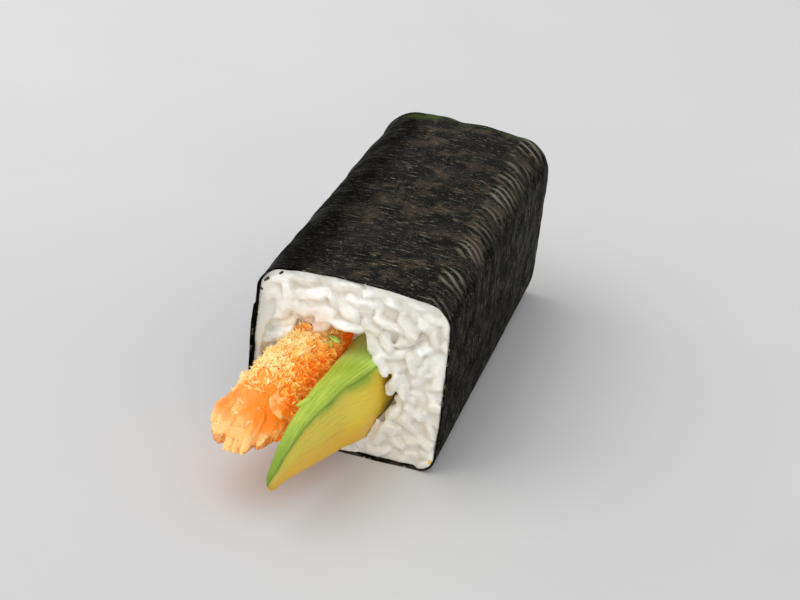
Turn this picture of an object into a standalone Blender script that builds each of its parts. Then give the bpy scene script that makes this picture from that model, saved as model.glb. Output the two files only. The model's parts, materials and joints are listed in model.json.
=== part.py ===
"""Temaki hand roll: a square block of sushi rice in a nori wrap, open at both ends.

A breaded shrimp and an avocado slice run through the rice from end to end, and both
stand out of the front, the shrimp with its tail fan and the avocado with its tip.

The origin is the centre of the wrap's flat underside. +Y runs from the open front,
where the fillings stand out, to the back, +Z is up, and all lengths are in metres.
"""

import math
import random

import bmesh
import bpy
from mathutils import Matrix, Vector, noise
from mathutils.bvhtree import BVHTree

MM = 0.001
SHARP = math.radians(40)    # edges that turn more than this are shaded as edges

# The roll, over the nori
LENGTH = 100 * MM
WIDTH = 46 * MM
HEIGHT = 44.4 * MM          # at the upper corners
TOP_CROWN = 1.7 * MM        # how far the top bows up between them
SIDE_CROWN = 0.8 * MM
LEFT_RADIUS = (5.2 * MM, 9.5 * MM)      # upper corner at the front, at the back
RIGHT_RADIUS = (5.2 * MM, 6.5 * MM)
FOOT_RADIUS = (3.8 * MM, 4.8 * MM)
UNEVENNESS = 0.45 * MM      # slow bumps where the rice presses on the wrap

# The nori sheet, wound once round with its outer edge lapped up the left wall
NORI = 0.35 * MM
LAP_LIFT = 0.5 * MM         # how far the lapped layer stands off the first
FIT = 0.3 * MM              # gap between the solids of neighbouring pieces
FRONT_WAVE = 0.35 * MM      # unevenness of the sheet's two cut edges
BACK_WAVE = 0.6 * MM
BACK_STEP = 2.0 * MM        # how much shorter the sheet's right part is at the back

# Counts of the wrap's grid
STATIONS = 12
CORNER_STEPS = 4
TOP_STEPS = 8
WALL_STEPS = 7
FOOT_STEPS = 6
LAP_START = 3               # steps up the left wall where the sheet begins
LAP_END = 6                 # steps up the left wall where its second layer ends

# The rice
RICE_SETBACK = (2.0 * MM, 3.6 * MM)     # core's ends inside the wrap's, at the front, at the back
GRAIN_LENGTH = 7.0 * MM
GRAIN_WIDTH = 3.0 * MM
GRAIN_FLATNESS = 0.86       # a grain's thickness over its width
SHORT_GRAIN = 0.66          # a grain's share of its length where a whole one finds no room
DEEPEST_GRAIN = 12 * MM     # how far in from the wrap's edge grains still show
FRONT_PITCH = (4.8 * MM, 3.6 * MM)
BACK_PITCH = (5.6 * MM, 4.2 * MM)
POCKETS = [                 # hollows in the front of the rice: centre, radii
    (Vector((-12.6, -50.0, 23.0)) * MM, Vector((9.4, 6.5, 12.5)) * MM),
    (Vector((0.0, -50.0, 29.0)) * MM, Vector((7.5, 8.5, 6.8)) * MM),
    (Vector((9.4, -50.0, 18.5)) * MM, Vector((4.0, 6.5, 6.0)) * MM),
]

# The shrimp: y, middle x, middle z and radius of its sections, from the back to the tail, in mm
SHRIMP_LINE = [
    (48.8, -10.0, 22.6, 0.0),
    (48.1, -10.0, 22.6, 5.6),
    (46.0, -10.0, 22.6, 7.8),
    (41.0, -10.0, 22.5, 8.3),
    (0.0, -10.0, 22.5, 8.4),
    (-34.0, -10.2, 22.5, 8.4),
    (-47.0, -10.9, 21.5, 8.2),
    (-53.0, -11.6, 20.1, 8.4),
    (-59.0, -12.7, 18.7, 8.5),
    (-64.0, -13.9, 17.8, 7.9),
    (-67.5, -15.0, 17.5, 7.2),
    (-69.6, -15.5, 17.3, 5.4),
    (-70.4, -15.7, 17.2, 0.0),
]
SHRIMP_SIDES = 16
SHRIMP_BORE = 9.1 * MM      # radius of its bore in the rice
BORE_ROOM = 0.55 * MM
CRUMB = 1.5 * MM
CRUMB_COUNT = 56
BACK_CRUMB_EVERY = 8        # one crumb in so many lies on the shrimp's end at the back

# The tail fan: root, and the end, half width and half thickness of each of its blades, in mm
TAIL_ROOT = (-15.0, -66.0, 17.6)
TAIL_BLADES = [
    ((-22.0, -74.4, 17.3), 2.6, 1.5),
    ((-19.0, -78.0, 15.8), 2.8, 1.9),
    ((-16.4, -81.0, 14.2), 2.9, 1.6),
    ((-13.0, -80.2, 14.4), 2.9, 2.0),
    ((-11.0, -75.2, 15.4), 2.5, 1.6),
]

# How far along a blade, and its share of the full width there
BLADE_PROFILE = ((0.0, 0.0), (0.0, 0.62), (0.3, 0.72), (0.62, 0.94), (0.88, 1.0), (1.0, 0.72), (1.0, 0.0))

# The avocado slice, an upright wedge, skin side up: y of its sections, x and z of its right
# upper edge, z of its thin lower edge, and width of the skin side, from the tip to the back,
# in mm
AVOCADO_LINE = [
    (-88.6, -4.8, 12.6, 12.4, 0.2),
    (-87.4, -4.5, 14.0, 11.6, 1.2),
    (-85.5, -3.8, 15.9, 11.0, 2.1),
    (-84.0, -3.3, 17.5, 10.9, 2.5),
    (-81.0, -2.4, 20.1, 10.9, 3.1),
    (-77.0, -1.1, 22.4, 10.4, 3.9),
    (-72.0, 0.5, 24.2, 9.5, 5.0),
    (-66.0, 2.3, 25.4, 8.5, 6.6),
    (-60.0, 4.1, 26.0, 8.0, 7.7),
    (-55.0, 5.6, 26.2, 7.0, 8.7),
    (-50.0, 7.1, 26.3, 5.8, 9.6),
    (-43.0, 8.7, 26.2, 5.4, 9.9),
    (-25.0, 9.7, 26.1, 5.6, 9.9),
    (12.0, 9.9, 25.7, 6.6, 9.5),
    (48.4, 9.4, 25.0, 8.0, 8.6),
]
WEDGE_LEAN = math.radians(5)    # its right side's, outwards from the upright
INNER_EDGE = 0.9 * MM           # half width of the wedge's thin edge

NORI_COLOUR = (0.017, 0.016, 0.011, 1)
RICE_COLOUR = (0.80, 0.77, 0.70, 1)
BREADING_COLOUR = (0.80, 0.32, 0.07, 1)
AVOCADO_COLOUR = (0.60, 0.58, 0.12, 1)


def mix(a, b, share):
    return a + (b - a) * share


def smooth(low, high, value):
    """0 below low, 1 above high, and an even ramp without corners between them."""
    t = min(1.0, max(0.0, (value - low) / (high - low)))
    return t * t * (3 - 2 * t)


def clear_scene():
    for obj in list(bpy.data.objects):
        bpy.data.objects.remove(obj)


def collection(name, hidden=False):
    made = bpy.data.collections.new(name)
    bpy.context.scene.collection.children.link(made)
    made.hide_render = hidden
    return made


def material(name, colour, roughness):
    made = bpy.data.materials.new(name)
    made.use_nodes = True
    shader = made.node_tree.nodes["Principled BSDF"]
    shader.inputs["Base Color"].default_value = colour
    shader.inputs["Roughness"].default_value = roughness
    shader.inputs["Metallic"].default_value = 0.0
    return made


def object_from(bm, name, home, finish=None):
    """Turns a bmesh into an object with its faces pointing out, and frees the bmesh."""
    bmesh.ops.recalc_face_normals(bm, faces=bm.faces)
    mesh = bpy.data.meshes.new(name)
    bm.to_mesh(mesh)
    bm.free()
    made = bpy.data.objects.new(name, mesh)
    home.objects.link(made)
    if finish:
        finish_mesh(mesh, finish)
    return made


def finish_mesh(mesh, finish):
    mesh.materials.clear()
    mesh.materials.append(finish)
    mesh.shade_smooth()
    mesh.set_sharp_from_angle(angle=SHARP)


def grid_of(columns, rows, place):
    """A bmesh grid whose vertex at shares (u, v) of its sides is moved to place(u, v)."""
    bm = bmesh.new()
    bmesh.ops.create_grid(bm, x_segments=columns, y_segments=rows, size=0.5)
    for vert in bm.verts:
        vert.co = place(vert.co.x + 0.5, vert.co.y + 0.5)
    return bm


def tube_of(around, along, place):
    """A closed tube: a grid joined along its seam, with a flat face over each end."""
    bm = grid_of(around, along, place)
    bmesh.ops.remove_doubles(bm, verts=bm.verts, dist=0.01 * MM)
    rims = [edge for edge in bm.edges if edge.is_boundary]
    if rims:
        bmesh.ops.holes_fill(bm, edges=rims, sides=0)
    return bm


# The wrap's outline

def corner_arc(centre_x, centre_z, radius, first_degree):
    return [
        Vector((centre_x - radius * math.cos(a), centre_z + radius * math.sin(a)))
        for a in (math.radians(first_degree + 90 * i / CORNER_STEPS) for i in range(CORNER_STEPS + 1))
    ]


def straight(start, end, steps):
    """The points between start and end, without those two."""
    return [start.lerp(end, i / steps) for i in range(1, steps)]


def plain_ring(share):
    """The rounded square at a share of the length, from the left wall's foot, clockwise."""
    left = mix(*LEFT_RADIUS, share)
    right = mix(*RIGHT_RADIUS, share)
    foot = mix(*FOOT_RADIUS, share)
    half = WIDTH / 2
    upper_left = corner_arc(left - half, HEIGHT - left, left, 0)
    upper_right = corner_arc(half - right, HEIGHT - right, right, 90)
    lower_right = corner_arc(half - foot, foot, foot, 180)
    lower_left = corner_arc(foot - half, foot, foot, 270)
    ring = [lower_left[-1]] + straight(lower_left[-1], upper_left[0], WALL_STEPS)
    ring += upper_left + straight(upper_left[-1], upper_right[0], TOP_STEPS)
    ring += upper_right + straight(upper_right[-1], lower_right[0], WALL_STEPS)
    ring += lower_right + straight(lower_right[-1], lower_left[0], FOOT_STEPS) + lower_left[:-1]
    return ring


def crowned(point):
    """Bows the top up and the walls out, and leaves the underside flat."""
    across = point.x / (WIDTH / 2)
    up = point.y / HEIGHT
    bow_up = TOP_CROWN * (1 - across * across) * smooth(0.3, 1.0, up)
    bow_out = SIDE_CROWN * (1 - (2 * up - 1) ** 2) * across
    return Vector((point.x + bow_out, point.y + bow_up))


def ring_at(share, inset):
    """The wrap's outline at a share of the length, moved inwards by inset."""
    ring = [crowned(p) for p in plain_ring(share)]
    y = mix(-LENGTH / 2, LENGTH / 2, share)
    made = []
    for i, point in enumerate(ring):
        along = (ring[(i + 1) % len(ring)] - ring[i - 1]).normalized()
        inward = Vector((along.y, -along.x))
        place = Vector((point.x, y, point.y))
        bump = UNEVENNESS * noise.noise(place / (11 * MM)) * smooth(0.04, 0.25, point.y / HEIGHT)
        made.append(point + inward * (inset - bump))
    return made


RING_POINTS = len(plain_ring(0))


# The nori wrap

def sheet_point(step, share):
    """A point of the sheet: step counts the ring's points from where the sheet begins."""
    index = LAP_START + step
    lifted = index - RING_POINTS            # steps up the left wall on the second layer
    lift = LAP_LIFT * smooth(-1, LAP_START, lifted)
    flat = ring_at(share, -lift)[index % RING_POINTS]
    y = mix(-LENGTH / 2, LENGTH / 2, share)
    wave = noise.noise(Vector((flat.x, flat.y, 40 * MM)) / (7 * MM))
    y += FRONT_WAVE * wave * smooth(0.12, 0.0, share)
    at_back = smooth(0.88, 1.0, share)
    y += BACK_WAVE * noise.noise(Vector((flat.x, flat.y, 0)) / (9 * MM)) * at_back
    y -= BACK_STEP * smooth(-6 * MM, -1 * MM, flat.x) * at_back
    return Vector((flat.x, y, flat.y))


def make_wrap(home, finish):
    steps = RING_POINTS + LAP_END - LAP_START
    bm = grid_of(steps, STATIONS, lambda u, v: sheet_point(round(u * steps), v))
    wrap = object_from(bm, "nori_wrap", home, finish)
    underside = min(wrap.data.polygons, key=lambda face: face.center.z)
    if underside.normal.z > 0:
        wrap.data.flip_normals()
    thickness = wrap.modifiers.new("sheet", "SOLIDIFY")
    thickness.thickness = NORI
    thickness.offset = -1
    return wrap


# The fillings

def at_y(table, y):
    """The values of a table's row at y, eased between the rows; rows are in mm, y in metres."""
    rows = sorted(table)
    y = min(max(y / MM, rows[0][0]), rows[-1][0])
    i = max(k for k in range(len(rows) - 1) if rows[k][0] <= y)
    before, start = rows[max(i - 1, 0)], rows[i]
    end, after = rows[i + 1], rows[min(i + 2, len(rows) - 1)]
    span = end[0] - start[0]
    t = (y - start[0]) / span
    values = []
    for k in range(1, len(start)):
        slope_in = (end[k] - before[k]) / (end[0] - before[0]) * span
        slope_out = (after[k] - start[k]) / (after[0] - start[0]) * span
        value = start[k] * (2 * t ** 3 - 3 * t ** 2 + 1) + slope_in * (t ** 3 - 2 * t ** 2 + t)
        value += end[k] * (3 * t ** 2 - 2 * t ** 3) + slope_out * (t ** 3 - t ** 2)
        values.append(value * MM)
    return values


def station_of(rows, v):
    """The y at a share v of the rows' count, so that close rows get close sections."""
    at = v * (len(rows) - 1)
    i = min(int(at), len(rows) - 2)
    return mix(rows[i][0], rows[i + 1][0], at - i) * MM


def wedge(depth, width, room):
    """The slice's section round its thin edge, clockwise from there, its corners rounded."""
    size = depth + room
    spread = math.asin(min(width / depth, 0.9))
    edge = min(INNER_EDGE, depth * 0.3) + room
    flat = [(edge * 0.35, -edge * 0.9), (room + edge * 0.15, -edge * 0.2)]
    flat += [(room, size * share) for share in (0.25, 0.5, 0.75, 0.95)]
    for share, bow in ((0.07, 1.0), (0.28, 1.01), (0.5, 1.015), (0.72, 1.01), (0.93, 1.0)):
        angle = spread * share
        flat.append((room - size * bow * math.sin(angle), size * bow * math.cos(angle)))
    for share in (0.95, 0.75, 0.5, 0.25):
        flat.append((-room - size * share * math.sin(spread), size * share * math.cos(spread)))
    flat += [(-edge * 0.75, -edge * 0.2), (-edge * 0.35, -edge * 0.9)]
    across, up = math.cos(WEDGE_LEAN), math.sin(WEDGE_LEAN)
    return [Vector((x * across + z * up, z * across - x * up)) for x, z in flat]


WEDGE_POINTS = len(wedge(1.0, 0.5, 0.0))


def avocado_point(u, y, room=0.0):
    """A point of the slice's surface, u once round its wedge."""
    x, upper, lower, width = at_y(AVOCADO_LINE, y)
    depth = max(upper - lower, 0.2 * MM) / math.cos(WEDGE_LEAN)
    point = wedge(depth, width, room)[round(u * WEDGE_POINTS) % WEDGE_POINTS]
    return Vector((x - depth * math.sin(WEDGE_LEAN) + point.x, y, lower + point.y))


def make_avocado(home, finish):
    bm = tube_of(WEDGE_POINTS, 18, lambda u, v: avocado_point(u, station_of(AVOCADO_LINE, v)))
    return object_from(bm, "avocado_slice", home, finish)


def shrimp_section(y):
    """Middle, right, up and radius of the shrimp's section at y."""
    x, z, radius = at_y(SHRIMP_LINE, y)
    ahead = at_y(SHRIMP_LINE, y + MM)
    behind = at_y(SHRIMP_LINE, y - MM)
    along = Vector((ahead[0] - behind[0], 2 * MM, ahead[1] - behind[1])).normalized()
    right = along.cross(Vector((0, 0, 1))).normalized()
    return Vector((x, y, z)), right, right.cross(along), radius


def shrimp_point(u, v):
    y = station_of(SHRIMP_LINE, v)
    middle, right, up, radius = shrimp_section(y)
    angle = 2 * math.pi * u
    around = right * math.cos(angle) + up * math.sin(angle)
    lumps = noise.noise((middle + around * radius) / (3.4 * MM))
    outside = smooth(-44 * MM, -52 * MM, y)
    return middle + around * max(radius, 0.0) * (1 + (0.02 + 0.07 * outside) * lumps)


def bore_point(u, v):
    """A plain bore for the shrimp, from behind the rice into the front pocket."""
    y = mix(LENGTH / 2 + 5 * MM, -LENGTH / 2 - 5 * MM, v)
    middle, _, _, _ = shrimp_section(min(y, 40 * MM))
    middle.y = y
    angle = 2 * math.pi * u
    return middle + Vector((math.cos(angle), 0, math.sin(angle))) * SHRIMP_BORE


def make_tail(home):
    """The fan: blades spread from the tail's root, waisted there and blunt at their ends."""
    root = Vector(TAIL_ROOT) * MM
    profile = BLADE_PROFILE
    middle_x = sum(blade[0][0] for blade in TAIL_BLADES) / len(TAIL_BLADES)
    for i, (tip, half_width, half_thickness) in enumerate(TAIL_BLADES):
        end = Vector(tip) * MM
        start = root + Vector(((tip[0] - middle_x) * 0.45, 0, 0.5 * (-1) ** i)) * MM
        along = (end - start).normalized()
        side = along.cross(Vector((0, 0, 1))).normalized()
        top = side.cross(along)

        def place(u, v):
            reach, share = profile[round(v * (len(profile) - 1))]
            angle = 2 * math.pi * u
            spread = side * math.cos(angle) * half_width + top * math.sin(angle) * half_thickness
            return start.lerp(end, reach) + spread * share * MM

        object_from(tube_of(8, len(profile) - 1, place), f"blade_{i}", home)


def crumb_mesh(draw, centre, out, size):
    """A flat, jagged flake of breading that stands on its edge more or less along out."""
    bm = bmesh.new()
    bmesh.ops.create_icosphere(bm, subdivisions=1, radius=1.0)
    for vert in bm.verts:
        vert.co *= draw.uniform(0.72, 1.25)
    flat = Matrix.Diagonal((size * draw.uniform(0.8, 1.3), size * draw.uniform(0.55, 0.9), size * 0.5, 1))
    tilt = Matrix.Rotation(draw.uniform(-0.9, 0.9), 4, "X") @ Matrix.Rotation(draw.uniform(0, 6.28), 4, "Z")
    turn = out.to_track_quat("Z", "Y").to_matrix().to_4x4()
    bmesh.ops.transform(bm, matrix=Matrix.Translation(centre) @ turn @ tilt @ flat, verts=bm.verts)
    return bm


def scatter_crumbs(draw, home, neighbours):
    """Crumbs over the shrimp where it stands out of the rice and on its end at the back."""
    for i in range(CRUMB_COUNT):
        at_back = i % BACK_CRUMB_EVERY == 0
        y = (draw.uniform(46.2, 48.2) if at_back else draw.uniform(-68.5, -45)) * MM
        middle, right, up, radius = shrimp_section(y)
        angle = i * math.pi * (3 - math.sqrt(5))
        around = right * math.cos(angle) + up * math.sin(angle)
        out = (around + Vector((0, 1.2, 0))).normalized() if at_back else around
        surface = middle + around * radius
        bm = crumb_mesh(draw, surface + out * 0.25 * MM, out, CRUMB * draw.uniform(0.75, 1.25))
        if crosses(bm, neighbours):
            bm.free()
        else:
            object_from(bm, f"crumb_{i}", home)


# Fusing small pieces to what carries them

def bounds_tree(obj):
    graph = bpy.context.evaluated_depsgraph_get()
    return BVHTree.FromObject(obj, graph)


def crosses(bm, trees):
    """Whether a small piece, grown by the fitting gap, reaches any of the neighbours."""
    middle = sum((vert.co for vert in bm.verts), Vector()) / len(bm.verts)
    grown = bm.copy()
    for vert in grown.verts:
        vert.co += (vert.co - middle).normalized() * FIT * 1.3
    own = BVHTree.FromBMesh(grown)
    hit = any(own.overlap(tree) for tree in trees) or any(inside(tree, middle) for tree in trees)
    grown.free()
    return hit


def inside(tree, point):
    """Whether the point lies within the closed surface of the tree, by counting crossings."""
    crossings = 0
    start = point.copy()
    way = Vector((0.0123, 1.0, 0.0217)).normalized()
    while crossings < 50:
        hit, _, _, distance = tree.ray_cast(start, way)
        if hit is None:
            break
        crossings += 1
        start = hit + way * 1e-6
    return crossings % 2 == 1


def apply_modifiers(obj):
    graph = bpy.context.evaluated_depsgraph_get()
    result = bpy.data.meshes.new_from_object(obj.evaluated_get(graph))
    obj.modifiers.clear()
    obj.data = result


def cut(obj, cutter):
    modifier = obj.modifiers.new("cut", "BOOLEAN")
    modifier.operation = "DIFFERENCE"
    modifier.solver = "EXACT"
    modifier.object = cutter
    apply_modifiers(obj)
    bpy.data.objects.remove(cutter)


def fuse(obj, pieces, finish):
    """Joins every object of a collection to obj, and keeps the one body that results."""
    modifier = obj.modifiers.new("fuse", "BOOLEAN")
    modifier.operation = "UNION"
    modifier.solver = "EXACT"
    modifier.operand_type = "COLLECTION"
    modifier.collection = pieces
    apply_modifiers(obj)
    for piece in list(pieces.objects):
        bpy.data.objects.remove(piece)
    keep_one_body(obj)
    finish_mesh(obj.data, finish)


def keep_one_body(obj):
    """Drops loose scraps and the walls of any sealed hollow."""
    bm = bmesh.new()
    bm.from_mesh(obj.data)
    left = set(bm.verts)
    bodies = []
    while left:
        front = [left.pop()]
        body = set(front)
        while front:
            vert = front.pop()
            for edge in vert.link_edges:
                other = edge.other_vert(vert)
                if other in left:
                    left.remove(other)
                    body.add(other)
                    front.append(other)
        bodies.append(body)
    largest = max(bodies, key=len)
    spare = [vert for body in bodies if body is not largest for vert in body]
    bmesh.ops.delete(bm, geom=spare, context="VERTS")
    bm.to_mesh(obj.data)
    bm.free()


# The rice

def make_core(home, cutters):
    """The block of rice inside the wrap, with a bore for each filling and the front pocket."""
    ends = (RICE_SETBACK[0] / LENGTH, 1 - RICE_SETBACK[1] / LENGTH)

    def place(u, v):
        share = mix(*ends, v)
        flat = ring_at(share, NORI + FIT)[round(u * RING_POINTS) % RING_POINTS]
        return Vector((flat.x, mix(-LENGTH / 2, LENGTH / 2, share), flat.y))

    core = object_from(tube_of(RING_POINTS, STATIONS, place), "rice", home)
    cut(core, object_from(tube_of(SHRIMP_SIDES, 10, bore_point), "shrimp_bore", cutters))
    ends = (-LENGTH / 2 - 10 * MM, LENGTH / 2 + 5 * MM)
    bore = tube_of(WEDGE_POINTS, 12, lambda u, v: avocado_point(u, mix(*ends, v ** 1.3), BORE_ROOM))
    cut(core, object_from(bore, "avocado_bore", cutters))
    for centre, radii in POCKETS:
        pocket = bmesh.new()
        bmesh.ops.create_uvsphere(pocket, u_segments=14, v_segments=8, radius=1.0)
        shape = Matrix.Translation(centre) @ Matrix.Diagonal((*radii, 1))
        bmesh.ops.transform(pocket, matrix=shape, verts=pocket.verts)
        cut(core, object_from(pocket, "pocket", cutters))
    return core


def grain_mesh(centre, axis, roll, length, width):
    """A cooked grain: a five-sided spindle with blunt ends."""
    bm = bmesh.new()
    bmesh.ops.create_uvsphere(bm, u_segments=5, v_segments=4, radius=0.5)
    shape = Matrix.Diagonal((width, width * GRAIN_FLATNESS, length, 1))
    turn = axis.to_track_quat("Z", "Y").to_matrix().to_4x4() @ Matrix.Rotation(roll, 4, "Z")
    bmesh.ops.transform(bm, matrix=Matrix.Translation(centre) @ turn @ shape, verts=bm.verts)
    return bm


def scatter_grains(draw, home, core, neighbours, end, pitch):
    """Grains over one end of the core, end -1 at the front and 1 at the back."""
    surface = bounds_tree(core)
    outward = Vector((0, end, 0))
    columns = int(WIDTH / pitch[0])
    rows = int((HEIGHT + TOP_CROWN) / pitch[1])
    for row in range(rows + 1):
        for column in range(columns + 1):
            x = (column - columns / 2 + 0.5 * (row % 2)) * pitch[0] + draw.uniform(-1, 1) * 0.9 * MM
            z = (row + 0.4) * pitch[1] + draw.uniform(-1, 1) * 0.7 * MM
            start = Vector((x, end * (LENGTH / 2 + 20 * MM), z))
            hit, _, _, _ = surface.ray_cast(start, -outward)
            reach = end * (hit.y if hit else 0) - LENGTH / 2
            lean = draw.uniform(-0.35, 0.35)
            swing = draw.uniform(0, math.pi)
            size = GRAIN_LENGTH * draw.uniform(0.85, 1.12)
            width = GRAIN_WIDTH * draw.uniform(0.9, 1.1)
            if hit is None or reach < -DEEPEST_GRAIN:
                continue
            axis = Vector((math.cos(swing), lean, math.sin(swing))).normalized()
            centre = Vector((x, hit.y, z)) + outward * draw.uniform(0.1, 0.9) * MM
            try_grain(draw, home, centre, axis, size, width, neighbours)


def try_grain(draw, home, centre, axis, size, width, neighbours):
    """Adds a grain, turned or shortened where it would cross a neighbour, or else none."""
    roll = draw.uniform(0, math.pi)
    turned = Vector((axis.z, axis.y, -axis.x))
    short = size * SHORT_GRAIN
    for way, length in ((axis, size), (turned, size), (axis, short), (turned, short)):
        bm = grain_mesh(centre, way, roll, length, width)
        if not crosses(bm, neighbours):
            object_from(bm, f"grain_{len(home.objects)}", home)
            return
        bm.free()


def main():
    clear_scene()
    roll = collection("temaki_hand_roll")
    helpers = collection("helpers", hidden=True)
    nori = material("nori", NORI_COLOUR, 0.42)
    rice = material("rice", RICE_COLOUR, 0.45)
    breading = material("breading", BREADING_COLOUR, 0.6)
    flesh = material("avocado", AVOCADO_COLOUR, 0.4)

    wrap = make_wrap(roll, nori)
    avocado = make_avocado(roll, flesh)
    shrimp = object_from(tube_of(SHRIMP_SIDES, 24, shrimp_point), "shrimp", roll, breading)
    core = make_core(roll, helpers)
    bpy.context.view_layer.update()

    draw = random.Random(7)
    coat = collection("coat", hidden=True)
    make_tail(coat)
    scatter_crumbs(draw, coat, [bounds_tree(wrap), bounds_tree(avocado), bounds_tree(core)])
    fuse(shrimp, coat, breading)

    grains = collection("grains", hidden=True)
    neighbours = [bounds_tree(wrap), bounds_tree(avocado), bounds_tree(shrimp)]
    scatter_grains(draw, grains, core, neighbours, -1, FRONT_PITCH)
    scatter_grains(draw, grains, core, neighbours, 1, BACK_PITCH)
    fuse(core, grains, rice)


main()
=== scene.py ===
"""Temaki hand roll: the looks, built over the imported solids.

Every operator makes one piece, or one group of like pieces, in the row frame: +Y runs
from the open front to the back, +Z is up, and all lengths are in metres.
"""

import functools
import json
import math
import random

import bmesh
import bpy
from bpy.props import FloatProperty, FloatVectorProperty, IntProperty, PointerProperty
from mathutils import Matrix, Vector, kdtree, noise
from mathutils.bvhtree import BVHTree

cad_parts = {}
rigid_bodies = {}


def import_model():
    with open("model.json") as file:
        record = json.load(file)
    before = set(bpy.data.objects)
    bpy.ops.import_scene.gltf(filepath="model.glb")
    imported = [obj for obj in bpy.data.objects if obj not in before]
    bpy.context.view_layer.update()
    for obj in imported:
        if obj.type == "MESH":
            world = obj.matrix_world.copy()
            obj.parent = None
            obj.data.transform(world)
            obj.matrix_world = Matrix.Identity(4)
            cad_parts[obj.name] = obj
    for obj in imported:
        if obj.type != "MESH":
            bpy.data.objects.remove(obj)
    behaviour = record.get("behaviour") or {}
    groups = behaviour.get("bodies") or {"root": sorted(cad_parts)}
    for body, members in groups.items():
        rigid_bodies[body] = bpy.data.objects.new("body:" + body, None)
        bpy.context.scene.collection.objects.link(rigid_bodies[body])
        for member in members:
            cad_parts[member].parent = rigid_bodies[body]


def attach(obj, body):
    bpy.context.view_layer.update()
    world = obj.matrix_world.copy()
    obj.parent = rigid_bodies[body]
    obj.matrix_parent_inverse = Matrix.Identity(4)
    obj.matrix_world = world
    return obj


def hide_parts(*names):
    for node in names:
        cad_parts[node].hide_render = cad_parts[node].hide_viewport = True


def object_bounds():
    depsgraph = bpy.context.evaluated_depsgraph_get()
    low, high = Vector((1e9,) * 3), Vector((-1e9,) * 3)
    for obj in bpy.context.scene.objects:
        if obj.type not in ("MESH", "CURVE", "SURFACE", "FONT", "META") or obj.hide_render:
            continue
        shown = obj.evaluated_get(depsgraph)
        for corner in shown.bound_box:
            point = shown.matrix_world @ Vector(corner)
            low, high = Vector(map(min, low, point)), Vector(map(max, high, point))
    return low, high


bl_info = {
    "name": "Temaki Hand Roll",
    "version": (1, 0, 0),
    "blender": (4, 5, 0),
    "location": "3D View > Sidebar > Temaki",
    "description": "Builds a hand roll of rice, nori, breaded shrimp and avocado over its solids",
    "category": "Object",
}

for obj in list(bpy.data.objects):
    bpy.data.objects.remove(obj)

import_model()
CAD_LOW, CAD_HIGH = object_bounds()
noise.seed_set(1)           # else noise_vector's offsets come from the clock

MM = 0.001
MOST_TRIANGLES = 195000     # in one piece
MERGE_DISTANCE = 0.002 * MM

# The roll's outline, as in its solids, with radii at the front and at the back
LENGTH = 100 * MM
WIDTH = 46 * MM
HEIGHT = 44.4 * MM
TOP_CROWN = 1.7 * MM
SIDE_CROWN = 0.8 * MM
LEFT_RADIUS = (5.2 * MM, 9.5 * MM)
RIGHT_RADIUS = (5.2 * MM, 6.5 * MM)
FOOT_RADIUS = (3.8 * MM, 4.8 * MM)
UNEVENNESS = 0.45 * MM

# The sheet round it
LAP_LIFT = 0.4 * MM         # how far its outer edge stands off the layer below
FRONT_WAVE = 0.35 * MM      # how far its cut edges wander, at the front and at the back
BACK_WAVE = 0.6 * MM
BACK_STEP = 2.0 * MM        # how much shorter it is on the right of the back
CORNER_STEPS = 14           # steps round the outline: a corner, the top, a wall, the underside
TOP_STEPS = 44
WALL_STEPS = 35
FOOT_STEPS = 40
SHEET_ROWS = 170            # steps along the roll
LAP_START = 15              # steps up the left wall where the sheet begins
LAP_END = 30                # steps up the left wall where its second layer ends
TOP_STEP = 0.82 * MM        # length of a step over the top
GIRTH = 186 * MM            # the sheet's length round the roll, with its lap
RIB_SPACING = 2.8 * MM

# The rice: how far its front and its back lie inside the wrap's, and the hollows in its front
# with their centre and radii
RICE_SETBACK = (0.9 * MM, 3.0 * MM)
RICE_FIT = 0.42 * MM        # from the outside of the wrap to the rice
MIDDLE = Vector((0, 22)) * MM           # x and z of the middle of the sections
NEVER_OUT = 19 * MM         # nothing this near the middle reaches the wrap
OUTLINE_STATIONS = 40       # steps along the roll at which grains are kept inside its outline
HOLLOW_ROUNDS = 40          # how far the rice is relaxed to find its hollows
HOLLOW_DEPTH = 0.45 * MM    # below the relaxed surface, where a hollow has its full painted shade
FRONT_DEPTH = 14.5 * MM     # how deep the block with the front's grains reaches
BACK_DEPTH = 9 * MM         # and the one with the back's
GRAINS_REACH = {-1: 12 * MM, 1: 5 * MM}     # how deep scattered grains lie: the front, the back
GRAIN_GAP = 3.2 * MM        # least distance between the middles of two grains
GRAIN_TRIES = 2600
POCKETS = [
    (Vector((-12.6, -50.0, 23.0)) * MM, Vector((9.4, 6.5, 12.5)) * MM),
    (Vector((0.0, -50.0, 28.6)) * MM, Vector((7.2, 15.5, 6.6)) * MM),
    (Vector((10.0, -50.0, 17.5)) * MM, Vector((4.4, 9.0, 7.6)) * MM),
]
# Painted light thrown from the shrimp onto the rice, and painted shade in the recess above it:
# centre, radius, and share of the colour
BOUNCE_AND_SHADE = [
    (Vector((-9.0, -46.0, 31.5)) * MM, 8 * MM, 0.45),
    (Vector((-0.5, -38.0, 27.0)) * MM, 9 * MM, 0.7),
]

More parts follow.
